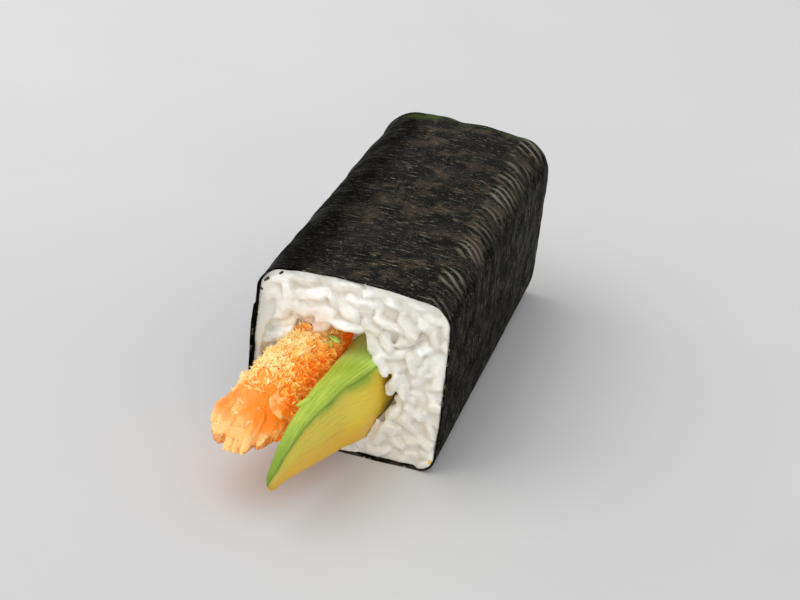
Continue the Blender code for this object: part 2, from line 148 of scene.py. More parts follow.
# Grains that stand out in the front: one end (x, z), the other end, and y, in mm
GRAINS = [
    ((-5.7, 43.6), (0.8, 44.0), -48.6),
    ((1.9, 43.8), (5.9, 43.9), -48.6),
    ((-11.6, 39.4), (-6.4, 41.5), -48.6),
    ((-21.6, 36.2), (-17.5, 38.8), -48.6),
    ((-20.0, 41.0), (-15.4, 43.0), -48.6),
    ((-14.9, 43.0), (-10.2, 42.4), -48.6),
    ((-16.4, 41.2), (-15.0, 35.4), -48.8),
    ((-18.9, 39.6), (-17.2, 34.9), -48.2),
    ((-14.4, 32.6), (-9.0, 33.9), -46.0),
    ((-12.6, 35.4), (-7.2, 37.8), -47.2),
    ((-5.6, 41.0), (-3.6, 35.8), -48.6),
    ((-5.3, 33.6), (2.6, 33.8), -49.5),
    ((-1.9, 39.8), (1.2, 35.4), -48.8),
    ((2.5, 40.6), (3.9, 35.0), -48.8),
    ((3.9, 33.6), (6.2, 28.0), -49.0),
    ((6.3, 28.6), (9.2, 23.5), -49.0),
    ((10.2, 19.0), (12.8, 24.6), -49.2),
    ((12.8, 25.0), (14.1, 18.6), -49.2),
    ((5.8, 37.8), (12.2, 36.2), -49.6),
    ((11.2, 39.4), (15.8, 35.4), -49.8),
    ((10.8, 32.4), (16.2, 35.6), -50.0),
    ((7.9, 28.8), (13.9, 30.0), -49.4),
    ((14.0, 31.0), (16.4, 25.6), -49.2),
    ((15.4, 23.6), (20.3, 26.5), -48.8),
    ((13.0, 13.4), (18.5, 9.4), -49.0),
    ((14.6, 16.4), (19.5, 13.2), -48.6),
    ((19.0, 8.0), (21.8, 7.4), -48.6),
    ((9.6, 10.6), (14.2, 16.3), -48.6),
    ((7.9, 6.6), (12.7, 11.0), -48.4),
    ((15.9, 3.2), (20.6, 4.4), -48.2),
    ((16.4, 40.7), (21.3, 40.4), -48.8),
    ((18.8, 38.9), (20.2, 33.0), -48.6),
    ((-20.9, 26.2), (-15.0, 29.0), -45.6),
    ((-21.6, 23.0), (-16.4, 22.0), -45.6),
    ((-18.6, 29.2), (-14.1, 32.4), -45.4),
    ((-16.4, 25.2), (-11.8, 29.4), -44.6),
    ((15.7, 32.2), (16.5, 27.7), -48.8),
    ((11.0, 7.4), (15.7, 4.6), -48.4),
    ((7.1, 43.1), (12.1, 40.9), -49.0),
    ((12.9, 43.2), (18.3, 42.0), -48.6),
    ((7.6, 34.8), (10.1, 29.4), -49.4),
    ((19.9, 23.7), (21.4, 18.3), -48.4),
    ((14.9, 20.6), (20.2, 18.9), -48.4),
    ((18.9, 15.6), (21.6, 11.4), -48.4),
]

# Lumps of grains that cling together, and a broken one: middle and way in mm, length and width in
# mm, and how white
LUMPS = [
    ((11.3, -47.7, 35.8), (1.0, 0.0, -0.3), 10.5, 5.8, 1.0),
    ((6.4, -48.3, 30.2), (0.45, 0.0, -0.89), 12.0, 4.4, 0.25),
    ((-18.0, -47.4, 26.4), (0.86, 0.1, 0.5), 7.8, 4.0, 0.9),
    ((-17.0, -46.6, 30.2), (0.8, 0.0, 0.6), 7.0, 3.8, 0.9),
    ((-9.8, -47.8, 35.4), (0.93, 0.0, 0.33), 9.6, 3.2, 0.9),
    ((-12.2, -47.6, 39.6), (1.0, 0.0, 0.2), 9.0, 4.6, 0.9),
    ((15.8, -48.0, 14.4), (0.5, 0.0, 0.86), 8.0, 4.6, 0.8),
    ((11.4, -47.6, 8.6), (1.0, 0.0, 0.4), 9.0, 4.4, 0.5),
    ((17.9, -49.2, 32.5), (1.0, 0.0, 0.0), 3.0, 3.0, 1.0),
    ((-14.0, -48.3, 43.0), (1.0, 0.0, 0.0), 9.0, 3.6, 0.9),
    ((2.0, -48.3, 40.6), (1.0, 0.0, -0.1), 9.5, 4.8, 0.8),
    ((-1.6, -48.6, 37.6), (0.5, 0.0, -1.0), 7.5, 4.2, 0.6),
    ((17.6, -48.2, 26.0), (0.2, 0.0, 1.0), 9.0, 4.6, 0.7),
    ((17.4, -48.0, 38.4), (1.0, 0.0, -0.4), 8.0, 4.6, 0.6),
    ((17.8, -48.0, 7.6), (1.0, 0.0, 0.2), 7.5, 4.6, 0.7),
]

# The shrimp: y, middle x, middle z and radius of its sections, in mm
SHRIMP_LINE = [
    (48.8, -10.0, 22.6, 0.0),
    (48.1, -10.0, 22.6, 5.6),
    (46.0, -10.0, 22.6, 7.8),
    (41.0, -10.0, 22.5, 8.3),
    (0.0, -10.0, 22.5, 8.4),
    (-25.0, -10.3, 22.5, 8.2),
    (-36.0, -10.8, 22.3, 7.8),
    (-47.0, -10.6, 21.3, 7.5),
    (-53.0, -11.4, 20.0, 7.8),
    (-59.0, -12.7, 18.7, 8.5),
    (-64.0, -13.9, 17.8, 7.9),
    (-67.5, -15.0, 17.5, 7.2),
    (-69.6, -15.5, 17.3, 5.4),
    (-70.4, -15.7, 17.2, 0.0),
]
SHRIMP_BORE = 8.5 * MM      # radius of its bore in the rice
CRUST_SUNK = 0.1 * MM       # how far the crust starts under the plain body
SHRIMP_STEPS = (132, 190)   # round the body, along it
CRUST_START = -34 * MM      # the crust is modelled finely from here to the tail
SHELL_START = -64 * MM      # and gives way to the smooth shell here
CRUMBS_FRONT = (-70.5, -34.5)           # y in mm between which the loose crumbs lie
CRUMBS_BACK = (48.8, 3.3)   # at the back: y in mm of the last, and how far before it
BACK_SHARE = 12             # one crumb in so many is at the back

# The tail fan: share of its length, middle x and z, half width and half height, in mm
TAIL_START = -62.0 * MM
TAIL_LINE = [
    (0.0, -13.0, 18.4, 7.9, 7.9),
    (0.2, -13.9, 18.0, 8.0, 7.5),
    (0.38, -14.9, 17.6, 8.1, 6.4),
    (0.5, -15.6, 17.1, 8.3, 4.2),
    (0.62, -16.1, 16.4, 8.5, 2.6),
    (0.78, -16.4, 15.6, 8.6, 1.5),
    (0.93, -16.5, 14.9, 8.6, 0.9),
    (1.0, -16.5, 14.5, 8.6, 0.0),
]
# Its ragged edge: place across it, -1 left to 1 right, and y in mm
TAIL_EDGE = [
    (-1.0, -71.8), (-0.85, -75.3), (-0.65, -78.2), (-0.4, -81.2), (-0.05, -82.2), (0.3, -81.6),
    (0.55, -79.6), (0.8, -77.0), (1.0, -73.0),
]
TAIL_BLADES = 1.3           # blades on either side of its middle
TAIL_STEPS = (200, 84)      # round it, along it
TAIL_SIZE = (21, 45)        # its length and girth in mm
TAIL_DEEP = (Vector((-11.5, -71.5, 21.0)) * MM, 8.5 * MM)   # where its colour is deepest

# The avocado slice: y of its sections, x and z of its right upper edge, z of its thin lower
# edge, and width of the skin side, in mm
AVOCADO_LINE = [
    (-88.6, -4.8, 12.6, 12.4, 0.2),
    (-87.4, -4.5, 14.0, 11.6, 1.2),
    (-85.5, -3.8, 15.9, 11.0, 2.1),
    (-84.0, -3.3, 17.5, 10.9, 2.5),
    (-81.0, -2.4, 20.1, 10.9, 3.1),
    (-77.0, -1.1, 22.4, 10.4, 3.9),
    (-72.0, 0.5, 24.2, 9.5, 5.0),
    (-66.0, 2.3, 25.4, 8.5, 6.6),
    (-60.0, 4.1, 26.0, 8.0, 7.7),
    (-55.0, 5.6, 26.2, 7.0, 8.7),
    (-50.0, 7.1, 26.3, 5.8, 10.2),
    (-43.0, 8.7, 26.2, 5.4, 11.6),
    (-36.0, 9.2, 26.2, 5.5, 12.8),
    (-25.0, 9.7, 26.1, 5.6, 10.6),
    (12.0, 9.9, 25.7, 6.6, 9.5),
    (48.4, 9.4, 25.0, 8.0, 8.6),
]
AVOCADO_ROWS = 44
AVOCADO_SIZE = (137, 56)    # its length and girth in mm
WEDGE_LEAN = math.radians(5)
INNER_EDGE = 0.9 * MM
AVOCADO_BELLY = 2.4 * MM    # swell of its right side in the front of the rice
# Shares of the way round its skin side, and how far the skin bows out there
SKIN_BOWS = [(0.06, 1.0), (0.22, 1.01), (0.4, 1.015), (0.6, 1.015), (0.78, 1.01), (0.94, 1.0)]

# Small bits that cling to the front: what they lie on, x and z in mm where the line from the
# camera to them passes the front's plane, half sizes in mm, turn in degrees, and mm outwards
NORI_BITS = [
    ("rice_front", (-20.8, 41.8), (1.3, 0.38, 0.14), -50, 0.0),
    ("rice_front", (-17.7, 44.0), (0.7, 0.3, 0.14), -50, 0.0),
    ("rice_front", (-22.2, 38.7), (0.4, 0.3, 0.12), 40, 0.0),
]
AVOCADO_BITS = [
    ("shrimp_body", (-3.8, 29.4), (1.5, 0.7, 0.4), 60, 0.7),
    ("shrimp_body", (-4.6, 28.2), (0.8, 0.5, 0.3), 20, 0.7),
    ("avocado_flesh", (-9.6, 11.4), (2.0, 0.6, 0.25), -30, 0.0),
    ("rice_front", (22.0, 3.2), (0.45, 0.4, 0.2), 0, 0.0),
]

# The stage: half the floor's side, and the place, width and height of each light, in metres
FLOOR_REACH = 4.0
KEY_LIGHT = (Vector((-0.55, -0.22, 0.85)), (1.1, 1.1))
FILL_LIGHT = (Vector((0.1, -1.0, 0.18)), (0.9, 0.3))
LIT_POINT = Vector((0, 0, 0.02))
WHITE = (1.0, 1.0, 1.0)
BLACK = (0.0, 0.0, 0.0)

# The camera, fitted to the photograph: where it stands, what it looks at, and its roll
EYE = Vector((104.6, -438.0, 263.9)) * MM
TARGET = Vector((0.95, -10.0, 21.29)) * MM
ROLL = math.radians(6.41)


def colour(name, description, default):
    return FloatVectorProperty(
        name=name, description=description, subtype="COLOR", size=3, min=0, max=1, default=default
    )


def length(name, description, default):
    return FloatProperty(
        name=name, description=description, subtype="DISTANCE", unit="LENGTH", min=0,
        default=default,
    )


def strength(name, description, default):
    return FloatProperty(name=name, description=description, min=0, default=default)


class NoriSettings(bpy.types.PropertyGroup):
    thickness: length("Thickness", "Thickness of the dried sheet", 0.35 * MM)
    rib_height: length("Rib height", "Height of the ribs along the right upper edge", 0.3 * MM)
    crinkle: length("Crinkle", "Height of the small unevenness all over the sheet", 0.14 * MM)
    dark: colour("Dark", "The darkest patches of the sheet", (0.0022, 0.0022, 0.0014))
    brown: colour("Brown", "The lighter, brownish patches", (0.047, 0.032, 0.020))
    # also the colour of the painted highlights on the ribs
    fibre_and_highlight: colour("Fibres", "Thin fibres that catch the light", (0.30, 0.27, 0.19))
    green: colour("Green", "Thin edges, where light comes through", (0.06, 0.08, 0.018))


class RiceSettings(bpy.types.PropertyGroup):
    grain_length: length("Grain length", "Length of a cooked grain", 7.0 * MM)
    grain_width: length("Grain width", "Width of a cooked grain", 3.0 * MM)
    resolution: length("Resolution", "Spacing of the merged surface of the grains", 0.36 * MM)
    white: colour("White", "Opaque grains", (0.93, 0.925, 0.90))
    clear: colour("Clear", "More translucent, greyer grains", (0.66, 0.635, 0.57))
    # painted shade in the hollows between the grains
    gap: colour("Gap", "Hollows between the grains", (0.48, 0.42, 0.32))
    # smooth pressed rice along the left wall, its grey partly its own and partly painted shade of
    # the recess there
    pressed_and_shaded: colour("Pressed", "Smooth grey rice along the left wall", (0.60, 0.61, 0.56))
    # painted light thrown from the shrimp, and painted shade in the recess above it
    bounce_and_shade: colour("Stain", "Where the shrimp colours the rice", (0.84, 0.56, 0.38))


class ShrimpSettings(bpy.types.PropertyGroup):
    crumb_size: length("Crumb size", "Half the length of an average crumb", 0.56 * MM)
    crumbs: IntProperty(
        name="Crumbs", description="Number of loose crumbs on the crust", min=0, default=9200
    )
    # deep and cream also carry painted shade in the hollows and a painted highlight on the tips
    deep: colour("Deep", "Hollows of the crust", (1.0, 0.23, 0.008))
    golden: colour("Golden", "Most of the crust", (1.0, 0.46, 0.06))
    cream: colour("Cream", "Tips of the crumbs", (1.0, 0.75, 0.34))
    shell: colour("Shell", "Smooth shell at the root of the tail", (1.0, 0.235, 0.004))
    tail: colour("Tail", "The tail fan", (1.0, 0.55, 0.19))
    burnt: colour("Burnt", "Fried edges of the tail fan", (0.62, 0.20, 0.03))


class AvocadoSettings(bpy.types.PropertyGroup):
    skin_dark: colour("Skin side, dark", "Ridge and tip of the slice", (0.17, 0.30, 0.012))
    skin_light: colour("Skin side, light", "Most of the peeled skin side", (0.52, 0.63, 0.085))
    # painted light on the skin side where the slice comes out of the rice
    skin_top_painted_light: colour("Skin side, top", "Where the slice comes out of the rice", (0.60, 0.85, 0.17))
    under_skin: colour("Under the skin", "Green rim of the cut face", (0.27, 0.43, 0.02))
    flesh: colour("Flesh", "Middle of the cut face", (0.76, 0.62, 0.055))
    inner: colour("Inner edge", "Towards the stone", (0.80, 0.47, 0.03))


class StageSettings(bpy.types.PropertyGroup):
    floor: colour("Floor", "Plain pale floor", (0.70, 0.70, 0.705))
    key: strength("Key light", "Strength of the light from the left", 6.4)
    fill: strength("Fill light", "Strength of the light from the front", 3.8)
    sky: strength("Sky", "Strength of the light from all round", 0.65)
    lens: FloatProperty(
        name="Lens", description="Focal length", subtype="DISTANCE_CAMERA", min=1, default=90.87
    )


class RollSettings(bpy.types.PropertyGroup):
    nori: PointerProperty(type=NoriSettings)
    rice: PointerProperty(type=RiceSettings)
    shrimp: PointerProperty(type=ShrimpSettings)
    avocado: PointerProperty(type=AvocadoSettings)
    stage: PointerProperty(type=StageSettings)


# Numbers

def mix(a, b, share):
    return a + (b - a) * share


def smooth(low, high, value):
    """0 below low, 1 above high, and an even ramp without corners between them."""
    t = min(1.0, max(0.0, (value - low) / (high - low)))
    return t * t * (3 - 2 * t)


def eased(table, place):
    """The values of a table's row at a place in its first column, eased between the rows."""
    rows = sorted(table)
    place = min(max(place, rows[0][0]), rows[-1][0])
    i = max(k for k in range(len(rows) - 1) if rows[k][0] <= place)
    before, start = rows[max(i - 1, 0)], rows[i]
    end, after = rows[i + 1], rows[min(i + 2, len(rows) - 1)]
    span = end[0] - start[0]
    t = (place - start[0]) / span
    values = []
    for k in range(1, len(start)):
        slope_in = (end[k] - before[k]) / (end[0] - before[0]) * span
        slope_out = (after[k] - start[k]) / (after[0] - start[0]) * span
        value = start[k] * (2 * t ** 3 - 3 * t ** 2 + 1) + slope_in * (t ** 3 - 2 * t ** 2 + t)
        value += end[k] * (3 * t ** 2 - 2 * t ** 3) + slope_out * (t ** 3 - t ** 2)
        values.append(value)
    return values


def at_y(table, y):
    """The values in metres of a table in mm at y, which is in metres."""
    return [value * MM for value in eased(table, y / MM)]


def along(table, value):
    """Straight steps through a table of (position, value) rows."""
    for (low, first), (high, second) in zip(table, table[1:]):
        if value <= high:
            return mix(first, second, (value - low) / (high - low))
    return table[-1][1]


# Meshes

def grid_of(columns, rows, place):
    """A grid with a UV map, whose vertex at shares (u, v) of its sides goes to place(u, v)."""
    bm = bmesh.new()
    bmesh.ops.create_grid(bm, x_segments=columns, y_segments=rows, size=0.5)
    shares = {vert: (vert.co.x + 0.5, vert.co.y + 0.5) for vert in bm.verts}
    surface = bm.loops.layers.uv.new("surface")
    for face in bm.faces:
        for loop in face.loops:
            loop[surface].uv = shares[loop.vert]
    for vert, (u, v) in shares.items():
        vert.co = place(u, v)
    return bm


def closed(bm, inset=0.0):
    """Joins a grid along its seam and puts a face, with an inset, over each open end."""
    bmesh.ops.remove_doubles(bm, verts=bm.verts, dist=MERGE_DISTANCE)
    rims = [edge for edge in bm.edges if edge.is_boundary]
    if rims:
        ends = bmesh.ops.holes_fill(bm, edges=rims, sides=0)["faces"]
        if inset:
            bmesh.ops.inset_individual(bm, faces=ends, thickness=inset)
    bmesh.ops.recalc_face_normals(bm, faces=bm.faces)
    return bm


def tube_of(around, rows, place):
    """A closed tube, whose vertex at share u round it and v along it goes to place(u, v)."""
    return closed(grid_of(around, rows, place))


def gathered(makers, layers=(), batch=40):
    """One bmesh of everything that the makers add, made in small lots, which is much faster."""
    whole = bmesh.new()
    for layer in layers:
        whole.verts.layers.float.new(layer)
    for first in range(0, len(makers), batch):
        lot = bmesh.new()
        for layer in layers:
            lot.verts.layers.float.new(layer)
        for maker in makers[first:first + batch]:
            maker(lot)
        mesh = bpy.data.meshes.new("lot")
        lot.to_mesh(mesh)
        lot.free()
        whole.from_mesh(mesh)
        bpy.data.meshes.remove(mesh)
    return whole


def object_from(bm, name):
    """Turns a bmesh into an object in the scene, smoothly shaded, and frees the bmesh."""
    mesh = bpy.data.meshes.new(name)
    bm.to_mesh(mesh)
    bm.free()
    mesh.shade_smooth()
    made = bpy.data.objects.new(name, mesh)
    bpy.context.scene.collection.objects.link(made)
    return made


def held_in_box(obj):
    """Pulls any vertex that leaves the box of the solids back to its side."""
    places = []
    for vert in obj.data.vertices:
        places += [min(max(c, low), high) for c, low, high in zip(vert.co, CAD_LOW, CAD_HIGH)]
    obj.data.vertices.foreach_set("co", places)
    obj.data.update()


def finish_piece(obj, material, stands_for, slot):
    """Gives a piece its material and its place in the frame; the slot argument is not used."""
    obj.data.materials.clear()
    obj.data.materials.append(material)
    held_in_box(obj)
    triangles = sum(len(face.vertices) - 2 for face in obj.data.polygons)
    if not 0 < triangles < MOST_TRIANGLES:
        raise RuntimeError(f"{obj.name} has {triangles} triangles")
    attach(obj, "root")
    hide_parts(stands_for)


def applied(obj):
    """The object with its modifiers worked into its mesh."""
    graph = bpy.context.evaluated_depsgraph_get()
    result = bpy.data.meshes.new_from_object(obj.evaluated_get(graph))
    obj.modifiers.clear()
    obj.data = result
    return obj


def cut(obj, cutter):
    modifier = obj.modifiers.new("cut", "BOOLEAN")
    modifier.operation = "DIFFERENCE"
    modifier.solver = "EXACT"
    modifier.object = cutter
    applied(obj)
    bpy.data.objects.remove(cutter)


def crosses(bm, trees):
    own = BVHTree.FromBMesh(bm)
    return any(own.overlap(tree) for tree in trees)


# Material nodes

def add(tree, kind, inputs=None, **settings):
    """Adds a node, and links or sets each of the named inputs."""
    node = tree.nodes.new(kind)
    for name, value in settings.items():
        setattr(node, name, value)
    for name, value in (inputs or {}).items():
        if isinstance(value, bpy.types.NodeSocket):
            tree.links.new(value, node.inputs[name])
        else:
            node.inputs[name].default_value = value
    return node


def blend(tree, factor, first, second):
    """Mixes two colours, each a socket or three numbers."""
    first, second = (
        one if isinstance(one, bpy.types.NodeSocket) else (*one, 1.0) for one in (first, second)
    )
    inputs = {0: factor, 6: first, 7: second}
    return add(tree, "ShaderNodeMix", inputs, data_type="RGBA").outputs[2]


def tinted(tree, tone, colour, mask, most=1.0):
    """The tone turned to a colour where a mask is 1, by a share of it at most."""
    return blend(tree, mask if most == 1.0 else times(tree, mask, most), tone, colour)


def between(tree, mask, low, high):
    """A value from low where the mask is 0 to high where it is 1."""
    inputs = {"Value": mask, "To Min": low, "To Max": high}
    return add(tree, "ShaderNodeMapRange", inputs).outputs["Result"]


def ramp(tree, value, low, high):
    """A soft mask, 0 where the value is below low and 1 where it is above high."""
    inputs = {"Value": value, "From Min": low, "From Max": high}
    node = add(tree, "ShaderNodeMapRange", inputs, interpolation_type="SMOOTHSTEP")
    return node.outputs["Result"]


def arithmetic(tree, operation, first, second):
    return add(tree, "ShaderNodeMath", {0: first, 1: second}, operation=operation).outputs[0]


def times(tree, *values):
    """The product of sockets and numbers."""
    return functools.reduce(functools.partial(arithmetic, tree, "MULTIPLY"), values)


def plus(tree, *values):
    """The sum of sockets and numbers."""
    return functools.reduce(functools.partial(arithmetic, tree, "ADD"), values)


def axes_of(tree, vector):
    """The x, y and z of a vector."""
    return tuple(add(tree, "ShaderNodeSeparateXYZ", {0: vector}).outputs)


def near(tree, place, centre, radius):
    """A soft mask, 1 at a point of the roll and 0 from a radius away."""
    way = add(tree, "ShaderNodeVectorMath", {0: place, 1: centre}, operation="DISTANCE")
    return ramp(tree, way.outputs["Value"], radius, radius * 0.3)


def scaled(tree, vector, scale):
    return add(tree, "ShaderNodeVectorMath", {0: vector, 1: scale}, operation="MULTIPLY").outputs[0]


def new_group(name, inputs, output):
    """A shader node group with float inputs beside its vector, and one mask as its output."""
    group = bpy.data.node_groups.new(name, "ShaderNodeTree")
    group.interface.new_socket("Vector", in_out="INPUT", socket_type="NodeSocketVector")
    for label, default in inputs:
        socket = group.interface.new_socket(label, in_out="INPUT", socket_type="NodeSocketFloat")
        socket.default_value = default
    group.interface.new_socket(output, in_out="OUTPUT", socket_type="NodeSocketFloat")
    given = group.nodes.new("NodeGroupInput").outputs
    return group, given, group.nodes.new("NodeGroupOutput").inputs


@functools.lru_cache(maxsize=None)
def mottle_group():
    """Cloudy patches between two limits of a noise."""
    inputs = [("Scale", 5.0), ("Detail", 3.0), ("Low", 0.4), ("High", 0.6)]
    group, given, out = new_group("mottle", inputs, "Mask")
    pattern = {"Vector": given["Vector"], "Scale": given["Scale"], "Detail": given["Detail"]}
    cloud = add(group, "ShaderNodeTexNoise", pattern)
    mask = ramp(group, cloud.outputs["Fac"], given["Low"], given["High"])
    group.links.new(mask, out["Mask"])
    return group.name


@functools.lru_cache(maxsize=None)
def streaks_group():
    """Long thin patches: a noise that is drawn out along the first axis of its vector."""
    inputs = [("Scale", 5.0), ("Stretch", 6.0), ("Wobble", 0.5), ("Low", 0.55), ("High", 0.7)]
    group, given, out = new_group("streaks", inputs, "Mask")
    thin = arithmetic(group, "DIVIDE", 1.0, given["Stretch"])
    shape = add(group, "ShaderNodeCombineXYZ", {"X": thin, "Y": 1.0, "Z": 1.0})
    drawn = scaled(group, given["Vector"], shape.outputs[0])
    pattern = {
        "Vector": drawn, "Scale": given["Scale"], "Detail": 2.0, "Distortion": given["Wobble"],
    }
    cloud = add(group, "ShaderNodeTexNoise", pattern)
    mask = ramp(group, cloud.outputs["Fac"], given["Low"], given["High"])
    group.links.new(mask, out["Mask"])
    return group.name


def placed(tree, group_name, vector, **values):
    """The mask of a shared group, with its values for this material."""
    node = tree.nodes.new("ShaderNodeGroup")
    node.node_tree = bpy.data.node_groups[group_name]
    tree.links.new(vector, node.inputs["Vector"])
    for name, value in values.items():
        node.inputs[name].default_value = value
    return node.outputs["Mask"]


def mottle(tree, vector, scale, detail, low, high):
    """Cloudy patches, from the shared group."""
    return placed(tree, mottle_group(), vector, Scale=scale, Detail=detail, Low=low, High=high)


def streaks(tree, vector, scale, stretch, wobble, low, high):
    """Long thin patches, from the shared group."""
    values = {"Scale": scale, "Stretch": stretch, "Wobble": wobble, "Low": low, "High": high}
    return placed(tree, streaks_group(), vector, **values)


def lengthways(tree, size):
    """The piece's own UV map, its length first, over its length and girth in mm."""
    around, along_it, _ = axes_of(tree, tree.nodes.new("ShaderNodeTexCoord").outputs["UV"])
    turned = add(tree, "ShaderNodeCombineXYZ", {"X": along_it, "Y": around}).outputs[0]
    return scaled(tree, turned, (*size, 0))


def new_material(name, **constants):
    """A material, its tree, its shader and its object coordinates."""
    made = bpy.data.materials.new(name)
    made.use_nodes = True
    tree = made.node_tree
    shader = tree.nodes["Principled BSDF"]
    for label, value in constants.items():
        shader.inputs[label.replace("_", " ")].default_value = value
    place = tree.nodes.new("ShaderNodeTexCoord").outputs["Object"]
    return made, tree, shader.inputs, place


def linked(tree, shader, **sockets):
    """Links each socket to the shader's input of its name."""
    for label, socket in sockets.items():
        tree.links.new(socket, shader[label.replace("_", " ")])


def bumped(tree, heights, distance):
    """A normal from a sum of (mask, weight) heights."""
    total = plus(tree, *(times(tree, mask, weight) for mask, weight in heights))
    inputs = {"Height": total, "Distance": distance, "Strength": 1.0}
    return add(tree, "ShaderNodeBump", inputs).outputs["Normal"]


def attribute(tree, name):
    return add(tree, "ShaderNodeAttribute", attribute_name=name).outputs["Fac"]


# The roll's outline

def corner_arc(centre_x, centre_z, radius, first_degree):
    degrees = [first_degree + 90 * i / CORNER_STEPS for i in range(CORNER_STEPS + 1)]
    return [
        Vector((centre_x - radius * math.cos(a), centre_z + radius * math.sin(a)))
        for a in map(math.radians, degrees)
    ]


def straight(start, end, steps):
    """The points between start and end, without those two."""
    return [start.lerp(end, i / steps) for i in range(1, steps)]


def plain_ring(share):
    """The rounded square at a share of the length, from the left wall's foot, clockwise."""
    left = mix(*LEFT_RADIUS, share)
    right = mix(*RIGHT_RADIUS, share)
    foot = mix(*FOOT_RADIUS, share)
    half = WIDTH / 2
    upper_left = corner_arc(left - half, HEIGHT - left, left, 0)
    upper_right = corner_arc(half - right, HEIGHT - right, right, 90)
    lower_right = corner_arc(half - foot, foot, foot, 180)
    lower_left = corner_arc(foot - half, foot, foot, 270)
    ring = [lower_left[-1]] + straight(lower_left[-1], upper_left[0], WALL_STEPS)
    ring += upper_left + straight(upper_left[-1], upper_right[0], TOP_STEPS)
    ring += upper_right + straight(upper_right[-1], lower_right[0], WALL_STEPS)
    ring += lower_right + straight(lower_right[-1], lower_left[0], FOOT_STEPS) + lower_left[:-1]
    return ring


def crowned(point):
    """Bows the top up and the walls out, and leaves the underside flat."""
    across = point.x / (WIDTH / 2)
    up = point.y / HEIGHT
    bow_up = TOP_CROWN * (1 - across * across) * smooth(0.3, 1.0, up)
    bow_out = SIDE_CROWN * (1 - (2 * up - 1) ** 2) * across
    return Vector((point.x + bow_out, point.y + bow_up))


@functools.lru_cache(maxsize=None)
def ring_at(share):
    """Points of the wrap's outline at a share of its length, each with its way inwards."""
    ring = [crowned(p) for p in plain_ring(share)]
    y = mix(-LENGTH / 2, LENGTH / 2, share)
    made = []
    for i, point in enumerate(ring):
        course = (ring[(i + 1) % len(ring)] - ring[i - 1]).normalized()
        inward = Vector((course.y, -course.x))
        place = Vector((point.x, y, point.y))
        bump = UNEVENNESS * noise.noise(place / (11 * MM)) * smooth(0.04, 0.25, point.y / HEIGHT)
        made.append((point - inward * bump, inward))
    return made


@functools.lru_cache(maxsize=None)
def reach_round(share):
    """(angle, radius) of the outline round the middle of the section, in order of angle."""
    rows = []
    for point, _ in ring_at(share):
        way = point - MIDDLE
        rows.append((math.atan2(way.y, way.x), way.length))
    rows.sort()
    first, last = rows[0], rows[-1]
    return [(last[0] - 2 * math.pi, last[1]), *rows, (first[0] + 2 * math.pi, first[1])]


def kept_inside(point, margin):
    """The point, or the nearest to it towards the middle that is within the wrap by a margin."""
    way = Vector((point.x, point.z)) - MIDDLE
    if way.length < NEVER_OUT:
        return point
    share = min(max(point.y / LENGTH + 0.5, 0.0), 1.0)
    share = round(share * OUTLINE_STATIONS) / OUTLINE_STATIONS
    limit = along(reach_round(share), math.atan2(way.y, way.x)) - margin
    if way.length > limit:
        way *= limit / way.length
    return Vector((MIDDLE.x + way.x, point.y, MIDDLE.y + way.y))


RING_POINTS = len(plain_ring(0))
RIGHT_CORNER = WALL_STEPS + CORNER_STEPS + TOP_STEPS     # where the right upper corner begins


# The nori wrap

def rib_phase(x, y):
    """The turns of the short slanting ribs over the right upper corner."""
    wander = noise.noise(Vector((x, y, 0)) / (7 * MM))
    return (y + 0.6 * x) / RIB_SPACING + 0.6 * wander


def rib_reach(index, y):
    """How strongly the ribs show, at a step round the outline."""
    over_top = (RIGHT_CORNER - index) * TOP_STEP
    past_edge = (index - RIGHT_CORNER) / CORNER_STEPS
    reach = smooth(2.5 * MM, 0, over_top) * smooth(0.75, 0.25, past_edge)
    return reach * (0.1 + 0.9 * smooth(-0.25, 0.25, noise.noise(Vector((0, y, 0)) / (8 * MM))))


def sheet_point(u, v, steps, settings):
    """A point of the sheet's outside, from where the sheet begins low on the left wall."""
    index = LAP_START + round(u * steps)
    lifted = index - RING_POINTS
    lift = LAP_LIFT * smooth(-5, LAP_START, lifted)
    flat, inward = ring_at(v)[index % RING_POINTS]
    y = mix(-LENGTH / 2, LENGTH / 2, v)
    place = Vector((flat.x, y, flat.y))
    swell = 0.5 + 0.5 * math.sin(2 * math.pi * rib_phase(flat.x, y))
    lift += settings.rib_height * rib_reach(index, y) * swell
    rough = noise.noise(place / (4.6 * MM)) + 0.6 * noise.noise(place / (1.9 * MM))
    lift += settings.crinkle * rough * smooth(0.02, 0.12, flat.y / HEIGHT)
    flat = flat - inward * lift
    wave = noise.noise(Vector((flat.x, flat.y, 40 * MM)) / (7 * MM))
    y += FRONT_WAVE * wave * smooth(0.12, 0.0, v)
    at_back = smooth(0.88, 1.0, v)
    y += BACK_WAVE * noise.noise(Vector((flat.x, flat.y, 0)) / (9 * MM)) * at_back
    y -= BACK_STEP * smooth(-6 * MM, -1 * MM, flat.x) * at_back
    return Vector((flat.x, y, flat.y))


